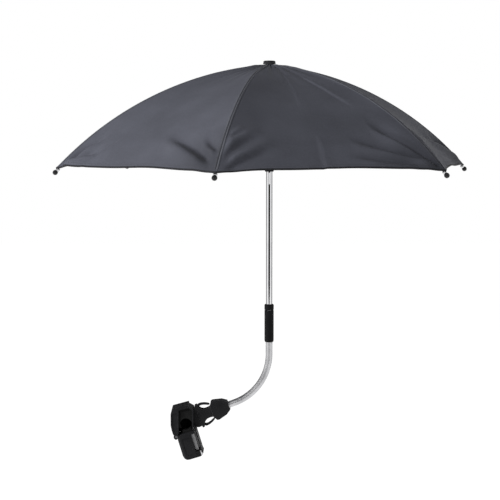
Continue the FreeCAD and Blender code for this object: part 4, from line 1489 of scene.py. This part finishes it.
@dataclass
class Hardware:
    """The pieces that come from the frame as they are, with finishes and softened edges that carry a
    painted highlight.
    """

    edge: float = 1.5 * MM
    small_edge: float = 0.6 * MM
    edge_rounds: int = 3
    sharpest: float = 28.0
    weld: float = 0.005 * MM
    flattest: float = 0.3

    def soften(self, node: bpy.types.Object, width: float, edge_slot: int) -> None:
        """Rounds a node's sharp edges with modifiers.

        Args:
            node: the node's mesh object.
            width: the rounding's width in metres.
            edge_slot: number of the material that the rounding gets, a lighter one that paints a
                highlight.
        """
        weld = node.modifiers.new("weld", "WELD")
        weld.merge_threshold = self.weld
        plane = node.modifiers.new("plane", "DECIMATE")
        plane.decimate_type = "DISSOLVE"
        plane.angle_limit = math.radians(self.flattest)
        bevel = node.modifiers.new("edges", "BEVEL")
        bevel.width = width
        bevel.segments = self.edge_rounds
        bevel.limit_method = "ANGLE"
        bevel.angle_limit = math.radians(self.sharpest)
        bevel.use_clamp_overlap = True
        bevel.harden_normals = False
        bevel.material = edge_slot
        normals = node.modifiers.new("shading", "WEIGHTED_NORMAL")
        normals.keep_sharp = False

    def dress(self, name: str, finish: Finish, width: float = 0.0) -> None:
        """Gives one node its finish, and soft edges with a painted highlight where a width is given.

        Args:
            name: the node's name.
            finish: the finish that it gets.
            width: the width of its soft edges in metres, or 0.
        """
        node = frame["nodes"][name]
        node.data.materials.clear()
        node.data.materials.append(finish.material())
        if width > 0.0:
            # The rounded edges get the lighter moulding, a painted highlight.
            node.data.materials.append(PAINTED_EDGE_HIGHLIGHT.material())
            self.soften(node, width, len(node.data.materials) - 1)
        LOG.info("dressed %s in %s", name, finish.name)

    def build(self) -> None:
        """Dresses every node that stays visible."""
        small = ("clamp_latch", "release_prong_upper", "release_prong_lower", "top_cap")
        for finish, width, names in (
            (BLACK, self.edge, ("saddle", "buckle_base", "clamp_jaw", "buckle_housing")),
            (BLACK, self.small_edge, small),
            (BLACK, 0.0, ("runner", "crown")),
            (SLEEVE, 0.0, ("coupling_sleeve", "sleeve_collar")),
            (RUBBER, 0.0, ("saddle_pad", "jaw_pad")),
            (DARK_STEEL, 0.0, ("saddle_screws", "jaw_pin")),
            (STRIP, 0.0, ("jaw_plate",)),
            (STEEL, 0.0, ("latch_pin", "catch_spring")),
            (WIRE, 0.0, ("crown_wire", "runner_wire")),
            (CHROME, 0.0, ("shaft",)),
        ):
            for name in names:
                self.dress(name, finish, width)
        for number in range(1, RIBS + 1):
            self.dress(f"rib_{number}", WIRE)
            self.dress(f"rib_clip_{number}", DARK_STEEL)
            self.dress(f"stretcher_{number}", WIRE)
            self.dress(f"rib_tip_{number}", GLOSS)


@dataclass(frozen=True)
class Lamp:
    """A square soft lamp and the point that it is aimed at."""

    name: str
    place: Place
    target: Place
    size: float
    power: float

    def hang(self) -> None:
        """Puts the lamp into the scene, unseen by the camera and in reflections."""
        data = bpy.data.lights.new(self.name, "AREA")
        data.size = self.size
        data.energy = self.power
        lamp = bpy.data.objects.new(self.name, data)
        lamp.location = self.place
        aim = Vector(self.target) - Vector(self.place)
        lamp.rotation_euler = aim.to_track_quat("-Z", "Y").to_euler()
        lamp.visible_camera = False
        lamp.visible_glossy = False
        bpy.context.scene.collection.objects.link(lamp)


@dataclass(frozen=True)
class Card:
    """A flat dark card, from its low corner to its high one."""

    name: str
    low: Place
    high: Place
    shade: float

    def corners(self) -> list[Place]:
        """Works out the card's corners.

        Returns:
            The four corners, in order.
        """
        wide, tall = (axis for axis in range(3) if self.low[axis] != self.high[axis])
        second = list(self.low)
        second[wide] = self.high[wide]
        fourth = list(self.low)
        fourth[tall] = self.high[tall]
        return [self.low, tuple(second), self.high, tuple(fourth)]


@dataclass
class Studio:
    """White room, soft lamps, dark cards for the reflections, and the photograph's viewpoint."""

    camera_place: Place = (0.104, -2.1205, 0.4743)
    camera_pitch: float = 0.09
    lens: float = 94.9
    sensor: float = 36.0
    floor_drop: float = 0.25
    floor_size: float = 14.0
    floor_shade: float = 0.86
    floor_glow: float = 1.12
    floor_white: float = 0.9
    ambient: float = 0.0875
    lamps: tuple[Lamp, ...] = (
        Lamp("key", (-1.62, -1.61, 1.54), (0.1, 0.0, 0.45), 0.5, 57.5),
        Lamp("side", (-2.3, -0.95, 0.71), (0.1, 0.0, 0.45), 0.5, 38.8),
        Lamp("fill", (1.6, -2.3, 0.5), (0.15, 0.0, 0.35), 1.2, 13.8),
        Lamp("back", (2.0, 1.9, 1.3), (0.15, 0.0, 0.4), 0.8, 32.5),
    )
    cards: tuple[Card, ...] = (
        Card("card_front", (-2.3, -3.6, -1.0), (2.7, -3.6, 2.0), 0.0),
        Card("card_left", (-2.0, 0.6, -0.6), (-2.0, 3.2, 1.2), 0.12),
        Card("card_back", (-2.4, 3.4, 1.15), (0.8, 3.4, 3.2), 0.1),
        Card("card_top", (-3.0, -2.0, 2.7), (3.0, 3.3, 2.7), 0.05),
        Card("card_right", (2.3, 0.9, 0.46), (2.3, 2.6, 1.2), 0.6),
        Card("card_right_low", (2.3, 0.2, -0.6), (2.3, 3.0, 0.45), 0.12),
        Card("card_low", (-1.0, 1.6, -0.2), (1.2, 1.6, 0.52), 0.02),
    )

    def world(self) -> None:
        """Makes a world that is white to the camera and in reflections, and softer as a light."""
        world = bpy.data.worlds.new("white_room")
        world.use_nodes = True
        bpy.context.scene.world = world
        graph = Graph(world.node_tree)
        strength = graph.seen() * (1.0 - self.ambient) + self.ambient
        shade = graph.node("ShaderNodeBackground", None, {"Color": WHITE, "Strength": strength})
        graph.send(shade, "ShaderNodeOutputWorld")

    @staticmethod
    def board(name: str, corners: list[Place], coat: str) -> tuple[bpy.types.Object, Graph]:
        """Makes a flat board with an empty material.

        Args:
            name: the board's name.
            corners: its four corners, in order.
            coat: the material's name.

        Returns:
            The board, and the node tree of its material.
        """
        mesh = bpy.data.meshes.new(name)
        mesh.from_pydata(corners, [], [(0, 1, 2, 3)])
        board = bpy.data.objects.new(name, mesh)
        bpy.context.scene.collection.objects.link(board)
        material, graph = new_material(coat)
        board.data.materials.append(material)
        return board, graph

    def floor(self) -> None:
        """Lays a pale floor that is white to the camera and keeps a faint shadow."""
        half = self.floor_size / 2.0
        z = CAD_BOX[0].z - self.floor_drop
        corners = [(-half, -half, z), (half, -half, z), (half, half, z), (-half, half, z)]
        floor, graph = self.board("floor", corners, "pale_floor")
        grey = (self.floor_shade, self.floor_shade, self.floor_shade, 1.0)
        seen = graph.seen() * self.floor_white
        matte = graph.node("ShaderNodeBsdfDiffuse", None, {"Color": grey})
        glow = graph.node("ShaderNodeEmission", None, {"Color": WHITE, "Strength": self.floor_glow})
        shaders = {1: Signal(graph, matte.outputs[0]), 2: Signal(graph, glow.outputs[0])}
        graph.send(graph.node("ShaderNodeMixShader", None, {0: seen, **shaders}))

    def card(self, plan: Card) -> None:
        """Stands up a card that only reflections see.

        Args:
            plan: the card's name, corners and shade.
        """
        card, graph = self.board(plan.name, plan.corners(), plan.name)
        colour = (plan.shade, plan.shade, plan.shade, 1.0)
        graph.send(graph.node("ShaderNodeEmission", None, {"Color": colour, "Strength": 1.0}))
        card.visible_camera = False
        card.visible_diffuse = False
        card.visible_transmission = False
        card.visible_shadow = False

    def camera(self) -> None:
        """Sets the photograph's viewpoint."""
        data = bpy.data.cameras.new("camera")
        data.lens = self.lens
        data.sensor_width = self.sensor
        camera = bpy.data.objects.new("camera", data)
        camera.location = self.camera_place
        camera.rotation_euler = (math.pi / 2.0 - self.camera_pitch, 0.0, 0.0)
        bpy.context.scene.collection.objects.link(camera)
        bpy.context.scene.camera = camera

    def build(self) -> None:
        """Sets up the room, the lamps and the camera."""
        bpy.context.scene.view_settings.view_transform = "Standard"
        self.world()
        self.floor()
        self.camera()
        for lamp in self.lamps:
            lamp.hang()
        for card in self.cards:
            self.card(card)


def main() -> None:
    """Builds every part of the scene in order."""
    logging.basicConfig(level=logging.INFO, format="%(name)s: %(message)s")
    Hardware().build()
    for maker in (Cover(), Neck(), Grip()):
        for piece in maker.build():
            LOG.info("built %s with %d points", piece.name, len(piece.data.vertices))
    Studio().build()


if __name__ == "__main__":
    main()
